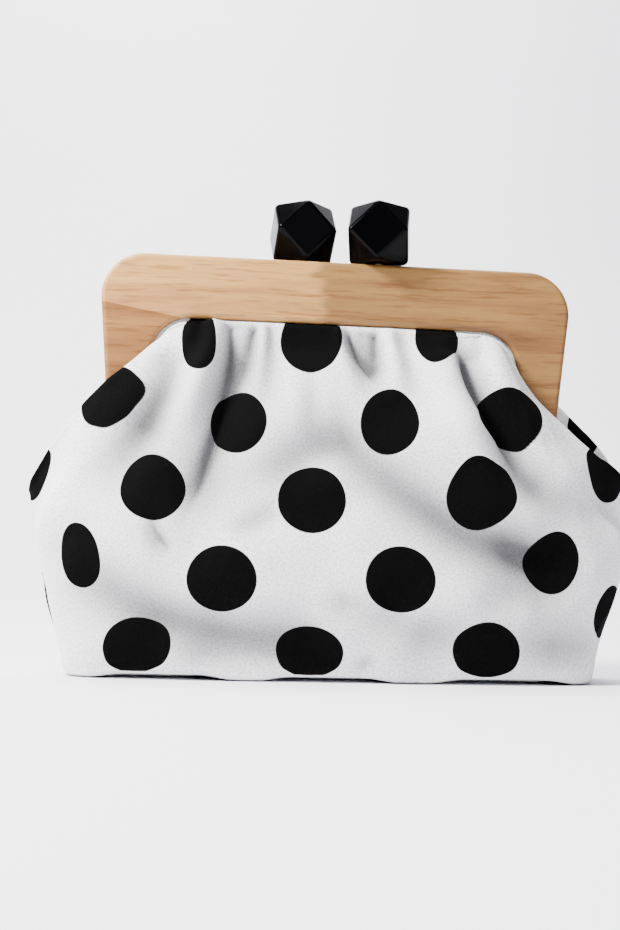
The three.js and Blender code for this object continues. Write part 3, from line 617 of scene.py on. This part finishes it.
BACK_FOLDS = (
    ((-0.45, 1.0), (-0.5, 0.78), (-0.66, 0.5), (2.5, 9.0), (-3.0, -5.0, 0.0), 0.6),
    ((-0.36, 1.0), (-0.4, 0.8), (-0.5, 0.6), (3.0, 9.0), (1.8, 2.5, 0.0), 0),
    ((-0.3, 1.0), (-0.33, 0.8), (-0.4, 0.6), (2.0, 8.0), (-2.5, -3.0, 0.0), 0),
    ((-0.22, 1.0), (-0.23, 0.9), (-0.26, 0.76), (2.0, 5.0), (1.5, 1.5, 0.0), 0),
    ((-0.14, 1.0), (-0.15, 0.88), (-0.19, 0.7), (1.8, 6.0), (-2.2, -2.5, 0.0), 0.5),
    ((-0.05, 1.0), (-0.06, 0.88), (-0.07, 0.74), (2.4, 6.0), (1.5, 1.5, 0.0), 0),
    ((0.02, 1.0), (0.02, 0.84), (0.0, 0.6), (1.8, 8.0), (-2.2, -3.0, 0.0), 0),
    ((0.12, 1.0), (0.13, 0.88), (0.16, 0.74), (2.4, 6.0), (1.4, 1.6, 0.0), 0),
    ((0.2, 1.0), (0.22, 0.86), (0.28, 0.66), (1.8, 7.0), (-2.0, -3.0, 0.0), 0.5),
    ((0.29, 1.0), (0.31, 0.88), (0.38, 0.7), (2.4, 7.0), (1.5, 2.0, 0.0), 0),
    ((0.38, 1.0), (0.42, 0.78), (0.58, 0.48), (2.5, 9.0), (-3.0, -5.0, 0.0), 1.0),
    ((0.5, 0.98), (0.56, 0.84), (0.68, 0.68), (4.0, 8.0), (1.0, 2.4, 0.0), 0),
    ((-0.66, 0.38), (-0.3, 0.2), (0.14, 0.13), (9.0, 12.0), (0.0, -5.0, 0.0), 0),
    ((0.24, 0.5), (0.5, 0.33), (0.8, 0.3), (9.0, 12.0), (0.0, -4.5, 0.0), 0),
    ((-0.3, 0.52), (-0.05, 0.43), (0.24, 0.4), (9.0, 12.0), (0.0, 2.0, 0.0), 0),
    ((0.2, 0.14), (0.34, 0.11), (0.5, 0.12), (5.0, 7.0), (0.0, -3.0, 0.0), 0),
)
FOLDS = {FRONT: FRONT_FOLDS, BACK: BACK_FOLDS}

# Steps between the rows of a column: hem, mouth, collar, over the leg, ridge, profile, body, base.
ROW_STEPS = (3, 4, 6, 8, 10, 13, 17, 20, 24, 16, 6, 12)
COLLAR_ROW = 2
RIDGE_ROW = 4


def opening_edge(share):
    """The opening's edge on the right side: x, z and its outward normal for shares of the way out."""
    corner_z = BAR_BOTTOM - INNER_CORNER_RADIUS
    tangent_z = corner_z - INNER_CORNER_RADIUS * math.sin(LEG_TAPER)
    corner_x = leg_inner(tangent_z) - INNER_CORNER_RADIUS * math.cos(LEG_TAPER)
    arc = INNER_CORNER_RADIUS * (math.pi / 2 + LEG_TAPER)
    leg = (tangent_z - LEG_END_HEIGHT - CLEARANCE) / math.cos(LEG_TAPER)
    along = (share - BAR_SHARE) / (1 - BAR_SHARE) * (arc + leg)
    angle = np.clip(math.pi / 2 - along / INNER_CORNER_RADIUS, -LEG_TAPER, math.pi / 2)
    nx = np.where(along < 0, 0, np.cos(angle))
    nz = np.where(along < 0, 1, np.sin(angle))
    past = np.maximum(0, along - arc)
    x = corner_x + INNER_CORNER_RADIUS * nx - past * math.sin(LEG_TAPER)
    z = corner_z + INNER_CORNER_RADIUS * nz - past * math.cos(LEG_TAPER)
    x = np.where(along < 0, corner_x * share / BAR_SHARE, x)
    return x, z, nx, nz


def plan_ring(half_width, half_depth, square, share):
    """Points of a superellipse in plan, at shares of the way from its middle to its side seam."""
    angle = np.linspace(0, math.pi / 2, 600)
    x = half_width * np.sin(angle) ** (2 / square)
    out = half_depth * np.cos(angle) ** (2 / square)
    length = np.concatenate([[0], np.cumsum(np.hypot(np.diff(x), np.diff(out)))])
    return np.interp(share * length[-1], length, x), np.interp(share * length[-1], length, out)


def column_rows(across, facing):
    """The cloth's middle surface as 13 rows of points for columns from the left seam to the right."""
    side = np.where(across < 0, -1.0, 1.0)
    share = np.abs(across)
    on_bar = 1 - smooth(BAR_SHARE - 0.12, BAR_SHARE + 0.02, share)
    leg_share = np.maximum(0, (share - BAR_SHARE) / (1 - BAR_SHARE))
    seam_gap = CLEARANCE / 2
    around = math.pi / 2 * np.maximum(0, (share - ROUND_SHARE) / (1 - ROUND_SHARE))
    edge_x, edge_z, nx, nz = opening_edge(share)
    edge_x, nx = side * edge_x, side * nx
    in_front = WOOD_FACE + CLOTH_OFF_WOOD
    inset = GROOVE_DEPTH - CLEARANCE
    hem_x, hem_z = leaned(edge_x + nx * inset, edge_z + nz * inset)
    mouth_off = CLOTH_WALL / 2 + CLEARANCE * mix(4, 1.5, on_bar)
    mouth_x, mouth_z = leaned(edge_x - nx * mouth_off, edge_z - nz * mouth_off)

    under = LEG_END_HEIGHT - HINGE_DROP - CLEARANCE - CLOTH_WALL
    foot_x = side * (leg_inner(LEG_END_HEIGHT) + 1)
    turned = np.sin(around) ** ROUND_FULLNESS
    still_in_front = np.maximum(0, np.cos(around)) ** ROUND_FULLNESS
    collar_off = mouth_off + CLEARANCE * mix(3, 1, on_bar)
    collar_x, collar_z = leaned(
        mix(edge_x - nx * collar_off, foot_x, smooth(0.6, 1, turned)),
        mix(edge_z - nz * collar_off, under, turned),
    )
    collar_out = np.maximum(seam_gap, mix(in_front, WOOD_FACE, on_bar) * still_in_front)

    columns = (1, 2) if facing == FRONT else (3, 4)
    ridge_share = np.where(
        side < 0,
        np.interp(leg_share, SHOULDERS[:, 0], SHOULDERS[:, columns[0]]),
        np.interp(leg_share, SHOULDERS[:, 0], SHOULDERS[:, columns[1]]),
    )
    ridge_start = opening_edge(np.array([BAR_SHARE]))[0][0]
    ridge_drop = RIDGE_DROP * (1 - smooth(0.2, BAR_SHARE, share))
    tip_x = POUCH_WIDTH / 2 - EAR_ROUNDING * smooth(0.8, 1, leg_share)
    ridge_x = np.where(share > BAR_SHARE, side * mix(ridge_start, tip_x, leg_share), edge_x)
    ridge_z = EAR_HEIGHT + (BAR_BOTTOM - EAR_HEIGHT) * (ridge_share - ridge_drop)
    closing = np.sqrt(np.maximum(0, 1 - np.maximum(0, 2 * leg_share - 1) ** 2))
    stand = SHOULDER_STAND * mix(0.9, 1, smooth(0, 0.5, leg_share)) * closing
    ridge_out = np.maximum(seam_gap, stand)

    leg_edge = leg_outer(collar_z) + CLOTH_OFF_WOOD
    reach = mix(0.55, 0.9, smooth(0.35, 0.7, leg_share))
    over_x = side * mix(np.abs(collar_x), np.minimum(np.abs(ridge_x), leg_edge), reach)
    under_z = leaned(side * leg_edge, under)[1]
    over_z = mix(mix(collar_z, ridge_z, 0.5), under_z, turned)
    over_out = mix(in_front, 0.5 * (collar_out + ridge_out), on_bar) * still_in_front

    rows = [
        (hem_x, np.full_like(share, HALF_MIDDLE), hem_z),
        (mouth_x, np.full_like(share, HALF_MIDDLE), mouth_z),
        (collar_x, collar_out, collar_z),
        (over_x, np.maximum(seam_gap, over_out), over_z),
        (ridge_x, ridge_out, ridge_z),
    ]
    sections = []
    for height, width, depth, square in BODY:
        x, out = plan_ring(width * POUCH_WIDTH / 2, depth * POUCH_DEPTH / 2, square, share)
        sections.append((side * x, np.maximum(seam_gap, out), np.full_like(share, height * EAR_HEIGHT)))
    belly = sections[0]
    for down, out in PROFILE:
        rows.append(
            (mix(ridge_x, belly[0], down), mix(ridge_out, belly[1], out), mix(ridge_z, belly[2], down))
        )
    rows += sections
    x, out = plan_ring(BASE_WIDTH / 2, BASE_DEPTH / 2, BASE_SQUARE, share)
    foot = np.full_like(share, CLOTH_WALL / 2)
    rows.append((side * x, np.maximum(seam_gap, out), foot))
    rows.append((across * BASE_WIDTH * BASE_SEAM_SHARE / 2, np.full_like(share, seam_gap), foot))
    table = np.array([np.stack(row, axis=-1) for row in rows])
    table[:, :, 1] *= facing
    return table


def swept(table):
    """Smooth curves through the rows of each column: points and their row numbers as fractions."""
    chords = np.sqrt(np.linalg.norm(np.diff(table, axis=0), axis=2)) + 1e-3
    knots = np.concatenate([np.zeros((1, table.shape[1])), np.cumsum(chords, axis=0)])
    before = np.maximum(0, np.arange(len(table)) - 1)
    after = np.minimum(len(table) - 1, np.arange(len(table)) + 1)
    slopes = (table[after] - table[before]) / (knots[after] - knots[before])[:, :, None]
    points = []
    numbers = []
    for i, steps in enumerate(ROW_STEPS):
        span = (knots[i + 1] - knots[i])[:, None]
        for k in range(steps):
            s = k / steps
            points.append(
                table[i] * (2 * s**3 - 3 * s**2 + 1)
                + slopes[i] * span * (s**3 - 2 * s**2 + s)
                + table[i + 1] * (3 * s**2 - 2 * s**3)
                + slopes[i + 1] * span * (s**3 - s**2)
            )
            numbers.append(i + s)
    points.append(table[-1])
    numbers.append(len(table) - 1)
    return np.array(points), np.array(numbers, float)


def fold_height(fold, x, z):
    """How far a fold moves the cloth at places of the front view, and how much shade that paints on it."""
    start, middle, end = [np.array((px * POUCH_WIDTH / 2, pz * BAR_BOTTOM)) for px, pz in fold[:3]]
    widths, depths, lap = fold[3:]
    t = np.linspace(0, 1, 25)[:, None]
    control = 2 * middle - (start + end) / 2
    line = (1 - t) ** 2 * start + 2 * t * (1 - t) * control + t**2 * end
    nearest = np.full(x.shape, np.inf)
    along = np.zeros(x.shape)
    sideways = np.zeros(x.shape)
    for k in range(1, len(line)):
        run = line[k] - line[k - 1]
        off_x, off_z = x - line[k - 1][0], z - line[k - 1][1]
        share = np.clip((off_x * run[0] + off_z * run[1]) / (run @ run), 0, 1)
        off_x, off_z = off_x - share * run[0], off_z - share * run[1]
        distance = np.hypot(off_x, off_z)
        closer = distance < nearest
        nearest = np.where(closer, distance, nearest)
        along = np.where(closer, (k - 1 + share) / (len(line) - 1), along)
        sideways = np.where(closer, (run[0] * off_z - run[1] * off_x) / np.hypot(*run), sideways)
    width = mix(widths[0], widths[1], along)
    depth = np.interp(along, (0, 0.25, 0.5, 0.75, 1), blended(depths))
    bump = np.exp(-((nearest / width) ** 2))
    fade = smooth(0, 0.12, along) * (1 - smooth(0.6, 1, along))
    step = -lap * np.tanh(sideways / 0.9) * np.exp(-((0.5 * nearest / width) ** 2)) * fade
    # Painted shade, darker in deep, narrow valleys.
    painted_shade = np.maximum(0, -depth) / (4.2 + 0.2 * width) * bump
    # Painted shadow beside a lap, on the side where the cloth lies lower.
    if lap:
        beside = smooth(-0.3, 1.2, sideways * np.sign(lap))
        painted_shade += LAP_SHADE * beside * fade * np.exp(-((nearest / (0.8 * width)) ** 2))
    return depth * bump + step, painted_shade


def blended(depths):
    """Five depths along a fold from the three at its start, middle and end."""
    start, middle, end = depths
    return (start, mix(start, middle, 0.65), middle, mix(end, middle, 0.65), end)


def grid_normals(grid, facing):
    """Unit normals of a grid of rows and columns, pointing out of the pouch."""
    down = np.gradient(grid, axis=0)
    over = np.gradient(grid, axis=1)
    normals = np.cross(down, over) * -facing
    return normals / np.maximum(1e-9, np.linalg.norm(normals, axis=2, keepdims=True))


def column_places():
    wide = np.linspace(0, ROUND_SHARE, 105)[:-1]
    close = np.linspace(ROUND_SHARE, 1, 22)
    half = np.concatenate([wide, close])
    return np.concatenate([-half[:0:-1], half])


def panel_grid(across, facing):
    """A panel's folded surface, where its points lie on the flat print, and how much shade is painted there.
    """
    grid, numbers = swept(column_rows(across, facing))
    # The curves swing past the ridge at the seam, where the ear would end in a beak.
    widest = np.abs(grid[sum(ROW_STEPS[:RIDGE_ROW]), :, 0]) + EAR_SLACK * (1 - smooth(0.93, 1, np.abs(across)))
    grid[:, :, 0] = np.clip(grid[:, :, 0], -widest, widest)
    flat = printed_places(grid, facing)
    share = np.abs(across)[None, :]
    off_bar = smooth(0.55, 0.68, share)
    start = mix(COLLAR_ROW - 0.2, RIDGE_ROW - 0.3, off_bar)
    grows = smooth(start, start + mix(1.0, 1.8, off_bar), numbers[:, None]) * (1 - smooth(0.9, 1, share))
    settles = smooth(0, 0.12, grid[:, :, 2] / EAR_HEIGHT)
    folds = [fold_height(fold, grid[:, :, 0], grid[:, :, 2]) for fold in FOLDS[facing]]
    depth, painted_shade = np.sum(folds, axis=0) * grows * settles * FOLD_GROWTH
    crumple = [noise.noise(Vector(point) / CRUMPLE_SIZE) for point in grid.reshape(-1, 3)]
    depth += np.array(crumple).reshape(depth.shape) * CRUMPLE_DEPTH * grows * settles
    grid = grid + grid_normals(grid, facing) * depth[:, :, None]
    grid[:, :, 1] = facing * np.maximum(CLEARANCE / 2, facing * grid[:, :, 1])
    near_edge = (1 - smooth(1, 9, grid[:, :, 2])) * smooth(0.4, 0.9, np.abs(grid[:, :, 1]) / BASE_DEPTH * 2)
    for x, half_width, height in BASE_LIFTS:
        lift = 1 - smooth(0.5, 1, np.abs(grid[:, :, 0] - x) / half_width)
        grid[:, :, 2] += height * lift * near_edge
    grid[:, :, 2] = np.maximum(CLOTH_WALL / 2, grid[:, :, 2])
    return grid, flat, np.clip(painted_shade, 0, 1)


def cloth_panel(name, facing, material):
    """One gathered panel of the pouch, from its hem in the frame to the seam under the base."""
    grid, flat, painted_shade = panel_grid(column_places(), facing)
    flat = flat.reshape(-1, 2) * MM
    rows, columns = grid.shape[:2]
    mesh = bpy.data.meshes.new(name)
    order = np.arange(rows * columns).reshape(rows, columns)
    quads = np.stack([order[:-1, :-1], order[1:, :-1], order[1:, 1:], order[:-1, 1:]], axis=-1)
    quads = quads.reshape(-1, 4)
    if facing == BACK:
        quads = quads[:, ::-1]
    mesh.from_pydata((grid.reshape(-1, 3) * MM).tolist(), [], quads.tolist())
    layer = mesh.uv_layers.new(name="cloth")
    corners = np.zeros(len(mesh.loops), np.int32)
    mesh.loops.foreach_get("vertex_index", corners)
    layer.data.foreach_set("uv", flat[corners].astype(np.float32).ravel())
    # The painted shade of the folds, kept as an attribute that the cloth's material reads.
    shade = mesh.attributes.new("painted_shade", "FLOAT", "POINT")
    shade.data.foreach_set("value", painted_shade.astype(np.float32).ravel())
    mesh.materials.append(material)
    piece = link(name, mesh)
    wall = piece.modifiers.new("wall", "SOLIDIFY")
    wall.thickness = 0.9 * MM
    wall.offset = 0
    smooth_shaded(piece, 80)
    return applied(piece)


# Where the dots of the front panel's print lie once the cloth is gathered, in a front view with its
# sides unrolled: column in half spacings, row, the middle's place, then the place of the dot's right
# and lower edge from its middle, in mm.
DOT_TABLE = (
    (-2, 0, -61.8, 146.8, 7.2, 0.2, 0.4, -15.4),
    (0, 0, -11.8, 150.6, 13.9, 0.5, -0.4, -17.3),
    (2, 0, 44.7, 153.9, 9.6, 0.1, -1.2, -14.0),
    (-3, 1, -107.0, 121.6, 17.0, 8.8, 11.0, -10.5),
    (-1, 1, -43.8, 111.3, 12.4, 0.2, 0.4, -14.3),
    (1, 1, 22.1, 113.1, 13.0, 0.2, -0.4, -14.7),
    (3, 1, 75.3, 116.6, 14.3, -5.0, -6.0, -12.4),
    (-4, 2, -166.0, 87.6, 14.0, 2.0, -5.0, -12.0),
    (-2, 2, -79.9, 81.4, 14.3, 0.1, 0.6, -13.9),
    (0, 2, -11.9, 77.7, 14.7, 0.0, 0.1, -14.7),
    (2, 2, 61.5, 82.6, 15.6, 0.7, -0.6, -15.7),
    (4, 2, 144.9, 93.8, 20.0, 3.5, 9.0, -12.5),
    (-3, 3, -117.8, 52.0, 13.9, 1.3, 3.4, -14.1),
    (-1, 3, -49.2, 43.3, 15.0, 0.2, 0.4, -14.2),
    (1, 3, 26.0, 44.6, 15.2, 0.0, 0.4, -14.3),
    (3, 3, 96.6, 53.3, 14.2, -1.4, -2.7, -14.1),
    (-4, 4, -154.0, 32.1, 14.0, 0.0, 2.0, -12.0),
    (-2, 4, -85.3, 13.4, 15.4, -0.5, -0.8, -12.3),
    (0, 4, -11.1, 12.3, 14.5, 0.3, 0.6, -11.5),
    (2, 4, 64.7, 14.6, 14.8, 1.7, 2.5, -12.7),
    (4, 4, 139.0, 32.1, 14.0, -0.7, -2.3, -12.0),
    (-3, 5, -112.0, -29.0, 14.0, 0.0, 0.0, -14.0),
    (-1, 5, -49.0, -29.0, 14.0, 0.0, 0.0, -14.0),
    (1, 5, 27.0, -29.0, 14.0, 0.0, 0.0, -14.0),
    (3, 5, 104.0, -29.0, 14.0, 0.0, 0.0, -14.0),
)
DOT_RADIUS = 14.5
DOT_SPACING = 75.6
DOT_ROW = 36.2
BACK_PRINT_START = (27.6, 151.0)
BACK_PRINT_SCALE = (1.0, -1.04)
UNROLL_FROM = 85.0
UNROLL_SHARE = 0.9
BASE_ROUNDING = 1.8


def unrolled_view(grid):
    """The front view of a panel, with its sides rolled out into the plane, in millimetres."""
    x, y, z = np.moveaxis(grid, 2, 0)
    hidden = (POUCH_DEPTH / 2 - np.abs(y)) * UNROLL_SHARE
    side = smooth(UNROLL_FROM, POUCH_WIDTH / 2, np.abs(x))
    under = 1 - smooth(CLOTH_WALL / 2, BASE_ROUNDING, z)
    return np.stack([x + np.sign(x) * side * hidden, z - under * hidden], axis=-1)


def printed_places(grid, facing):
    """Where each point of a panel lies on the flat print, in millimetres from its first dot."""
    if facing == BACK:
        return (unrolled_view(grid) - np.array(BACK_PRINT_START)) * np.array(BACK_PRINT_SCALE)
    on_view = []
    on_print = []
    for column, row, x, z, *edges in DOT_TABLE:
        middle = np.array((column * DOT_SPACING / 2, row * DOT_ROW))
        edges = np.array(edges).reshape(2, 2)
        on_view.append(np.array((x, z)))
        on_print.append(middle)
        for k in range(8):
            way = np.array((math.cos(k * math.pi / 4), math.sin(k * math.pi / 4)))
            on_view.append((x, z) + way @ edges)
            on_print.append(middle + DOT_RADIUS * way)
    on_view = np.array(on_view)
    on_print = np.array(on_print)

    def kernel(points):
        gap = np.linalg.norm(points[:, None] - on_view[None], axis=2) + 1e-6
        return gap**2 * np.log(gap)

    count = len(on_view)
    plane = np.hstack([np.ones((count, 1)), on_view])
    system = np.zeros((count + 3, count + 3))
    system[:count, :count] = kernel(on_view) + np.eye(count) * 40.0
    system[:count, count:] = plane
    system[count:, :count] = plane.T
    weights = np.linalg.solve(system, np.vstack([on_print, np.zeros((3, 2))]))
    view = unrolled_view(grid).reshape(-1, 2)
    flat = kernel(view) @ weights[:count] + np.hstack([np.ones((len(view), 1)), view]) @ weights[count:]
    return flat.reshape(grid.shape[:2] + (2,))


class ClutchSizes(bpy.types.PropertyGroup):
    """Sizes and colours of the purse that a user would change."""

    bead_size: bpy.props.FloatProperty(
        name="Bead size", description="Across opposite square faces", default=0.0272, unit="LENGTH"
    )
    bead_edge_radius: bpy.props.FloatProperty(
        name="Bead edge radius", description="Rounding of the beads' edges", default=0.0026, unit="LENGTH"
    )
    dot_diameter: bpy.props.FloatProperty(
        name="Dot diameter", description="Of the printed dots", default=0.029, unit="LENGTH"
    )
    dot_spacing: bpy.props.FloatProperty(
        name="Dot spacing", description="Between the dots of one row", default=0.0756, unit="LENGTH"
    )
    dot_row: bpy.props.FloatProperty(
        name="Dot row spacing", description="Between rows of dots", default=0.0362, unit="LENGTH"
    )
    wood_pale_hex: bpy.props.StringProperty(
        name="Pale wood", description="sRGB hex of the pale grain", default="#c49455"
    )
    wood_dark_hex: bpy.props.StringProperty(
        name="Dark wood", description="sRGB hex of the dark grain", default="#9b6a40"
    )
    cloth_colour_hex: bpy.props.StringProperty(
        name="Cloth colour", description="sRGB hex of the cloth's ground", default="#f4f4f6"
    )
    fold_shade_hex: bpy.props.StringProperty(
        name="Fold colour", description="sRGB hex painted deep in the folds as shade", default="#646465"
    )
    dot_colour_hex: bpy.props.StringProperty(
        name="Dot colour", description="sRGB hex of the printed dots", default="#020202"
    )
    bead_colour_hex: bpy.props.StringProperty(
        name="Bead colour", description="sRGB hex of the beads", default="#020203"
    )
    paper_colour_hex: bpy.props.StringProperty(
        name="Paper colour", description="sRGB hex of the backdrop", default="#e9e8ee"
    )


class CLUTCH_OT_frame(bpy.types.Operator):
    """Builds the two halves of the wooden frame"""

    bl_idname = "clutch.frame"
    bl_label = "Wooden frame"

    def execute(self, context):
        wood = rubberwood(context.scene.clutch)
        for name, half, node in (("front", FRONT, "frame_front"), ("back", BACK, "frame_back")):
            piece = frame_half(f"wood_{name}", half, wood)
            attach(piece, "root")
            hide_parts(node)
        return {"FINISHED"}


class CLUTCH_OT_hardware(bpy.types.Operator):
    """Gives the hidden dowels and hinges their brass"""

    bl_idname = "clutch.hardware"
    bl_label = "Brass dowels and hinges"

    def execute(self, context):
        brass = brushed_brass()
        for name in ("bead_post_left", "bead_post_right", "hinge_left", "hinge_right"):
            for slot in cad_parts[name].material_slots:
                slot.material = brass
        return {"FINISHED"}


class CLUTCH_OT_beads(bpy.types.Operator):
    """Builds the two faceted beads on the bar"""

    bl_idname = "clutch.beads"
    bl_label = "Faceted beads"

    def execute(self, context):
        props = context.scene.clutch
        tree = bead_tree(black_acrylic(props))
        for name, side, half, lift, turn in (("left", -1, BACK, 1.3, 7), ("right", 1, FRONT, 0.5, -10)):
            piece = faceted_bead(f"acrylic_bead_{name}", tree, props.bead_size, props.bead_edge_radius)
            x = BEAD_PAIR_SHIFT + side * BEAD_SPACING / 2
            height = FRAME_TOP + lift + props.bead_size / MM / 2
            place_on_frame(piece, x, half * HALF_MIDDLE, height, turn)
            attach(piece, "root")
            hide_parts(f"bead_{name}")
        return {"FINISHED"}


class CLUTCH_OT_pouch(bpy.types.Operator):
    """Builds the gathered cloth pouch from its two panels"""

    bl_idname = "clutch.pouch"
    bl_label = "Cloth pouch"

    def execute(self, context):
        cotton = printed_cotton(context.scene.clutch)
        for name, facing in (("front", FRONT), ("back", BACK)):
            piece = cloth_panel(f"cotton_{name}", facing, cotton)
            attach(piece, "root")
            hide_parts(f"pouch_{name}")
        return {"FINISHED"}


class CLUTCH_OT_stage(bpy.types.Operator):
    """Builds the backdrop, the lights and the camera"""

    bl_idname = "clutch.stage"
    bl_label = "Stage"

    def execute(self, context):
        backdrop(paper_sweep(context.scene.clutch))
        lights(context.scene)
        camera(context.scene)
        return {"FINISHED"}


def backdrop(material):
    """A sheet of paper that lies on the table and curves up into a wall."""
    half_width, near, far, wall, radius = 4.0, -2.5, 1.6, 3.0, 0.9
    profile = [(near, 0.0), (far - radius, 0.0)]
    for k in range(1, 25):
        angle = math.pi / 2 * k / 24
        profile.append((far - radius + radius * math.sin(angle), radius - radius * math.cos(angle)))
    profile.append((far, wall))
    verts = [(x, y, z) for y, z in profile for x in (-half_width, half_width)]
    faces = [(2 * i, 2 * i + 1, 2 * i + 3, 2 * i + 2) for i in range(len(profile) - 1)]
    mesh = bpy.data.meshes.new("paper")
    mesh.from_pydata(verts, [], faces)
    mesh.polygons.foreach_set("use_smooth", [True] * len(faces))
    mesh.materials.append(material)
    link("paper", mesh)


def area_light(name, place, aim, size, power, colour):
    data = bpy.data.lights.new(name, "AREA")
    data.shape = "DISK"
    data.size = size
    data.energy = power
    data.color = colour
    lamp = bpy.data.objects.new(name, data)
    lamp.location = place
    lamp.rotation_euler = (Vector(aim) - Vector(place)).to_track_quat("-Z", "Y").to_euler()
    bpy.context.scene.collection.objects.link(lamp)


def lights(scene):
    world = bpy.data.worlds.new("studio")
    world.use_nodes = True
    world.node_tree.nodes["Background"].inputs[0].default_value = linear("#f1f1f5")
    world.node_tree.nodes["Background"].inputs[1].default_value = 0.2
    scene.world = world
    area_light("key", (-1.0, -0.5, 1.05), (0, 0, 0.08), 0.4, 98.0, (1.0, 0.99, 0.98))
    area_light("fill", (0.4, -1.7, 0.9), (0, 0, 0.1), 1.2, 3.5, (0.97, 0.98, 1.0))
    area_light("top", (0.0, 0.2, 1.7), (0, 0, 0.1), 1.6, 30.0, (1.0, 1.0, 1.0))
    area_light("wall", (-0.3, 0.6, 1.9), (0, 1.6, 0.4), 1.0, 70.0, (1.0, 1.0, 1.0))


# The camera stands 0.6 m away, a little left of the middle and low, and is rolled slightly.
CAMERA_PLACE = (-0.0506, -0.6069, 0.052)
CAMERA_YAW = math.radians(3.8)
CAMERA_PITCH = math.radians(4.06)
CAMERA_ROLL = math.radians(1.3)
CAMERA_LENS = 51.9


def camera(scene):
    data = bpy.data.cameras.new("camera")
    data.lens = CAMERA_LENS
    data.sensor_width = 36.0
    data.sensor_fit = "AUTO"
    data.clip_start = 0.01
    forward = Vector(
        (
            math.sin(CAMERA_YAW) * math.cos(CAMERA_PITCH),
            math.cos(CAMERA_YAW) * math.cos(CAMERA_PITCH),
            math.sin(CAMERA_PITCH),
        )
    )
    level = Vector((math.cos(CAMERA_YAW), -math.sin(CAMERA_YAW), 0))
    raised = level.cross(forward)
    right = level * math.cos(CAMERA_ROLL) + raised * math.sin(CAMERA_ROLL)
    up = raised * math.cos(CAMERA_ROLL) - level * math.sin(CAMERA_ROLL)
    turn = Matrix((right, up, -forward)).transposed().to_4x4()
    stand = bpy.data.objects.new("camera", data)
    stand.matrix_world = Matrix.Translation(Vector(CAMERA_PLACE)) @ turn
    scene.collection.objects.link(stand)
    scene.camera = stand


class CLUTCH_PT_panel(bpy.types.Panel):
    """Lists the purse's pieces and sizes"""

    bl_idname = "CLUTCH_PT_panel"
    bl_label = "Clutch purse"
    bl_space_type = "VIEW_3D"
    bl_region_type = "UI"
    bl_category = "Clutch"

    def draw(self, context):
        for name in ClutchSizes.__annotations__:
            self.layout.prop(context.scene.clutch, name)
        for operator in OPERATORS:
            self.layout.operator(operator.bl_idname)


OPERATORS = (CLUTCH_OT_frame, CLUTCH_OT_hardware, CLUTCH_OT_beads, CLUTCH_OT_pouch, CLUTCH_OT_stage)
CLASSES = (ClutchSizes, *OPERATORS, CLUTCH_PT_panel)


def register():
    for item in CLASSES:
        bpy.utils.register_class(item)
    bpy.types.Scene.clutch = bpy.props.PointerProperty(type=ClutchSizes)


def unregister():
    del bpy.types.Scene.clutch
    for item in reversed(CLASSES):
        bpy.utils.unregister_class(item)


def main():
    register()
    bpy.ops.clutch.frame()
    bpy.ops.clutch.hardware()
    bpy.ops.clutch.beads()
    bpy.ops.clutch.pouch()
    bpy.ops.clutch.stage()


if __name__ == "__main__":
    main()
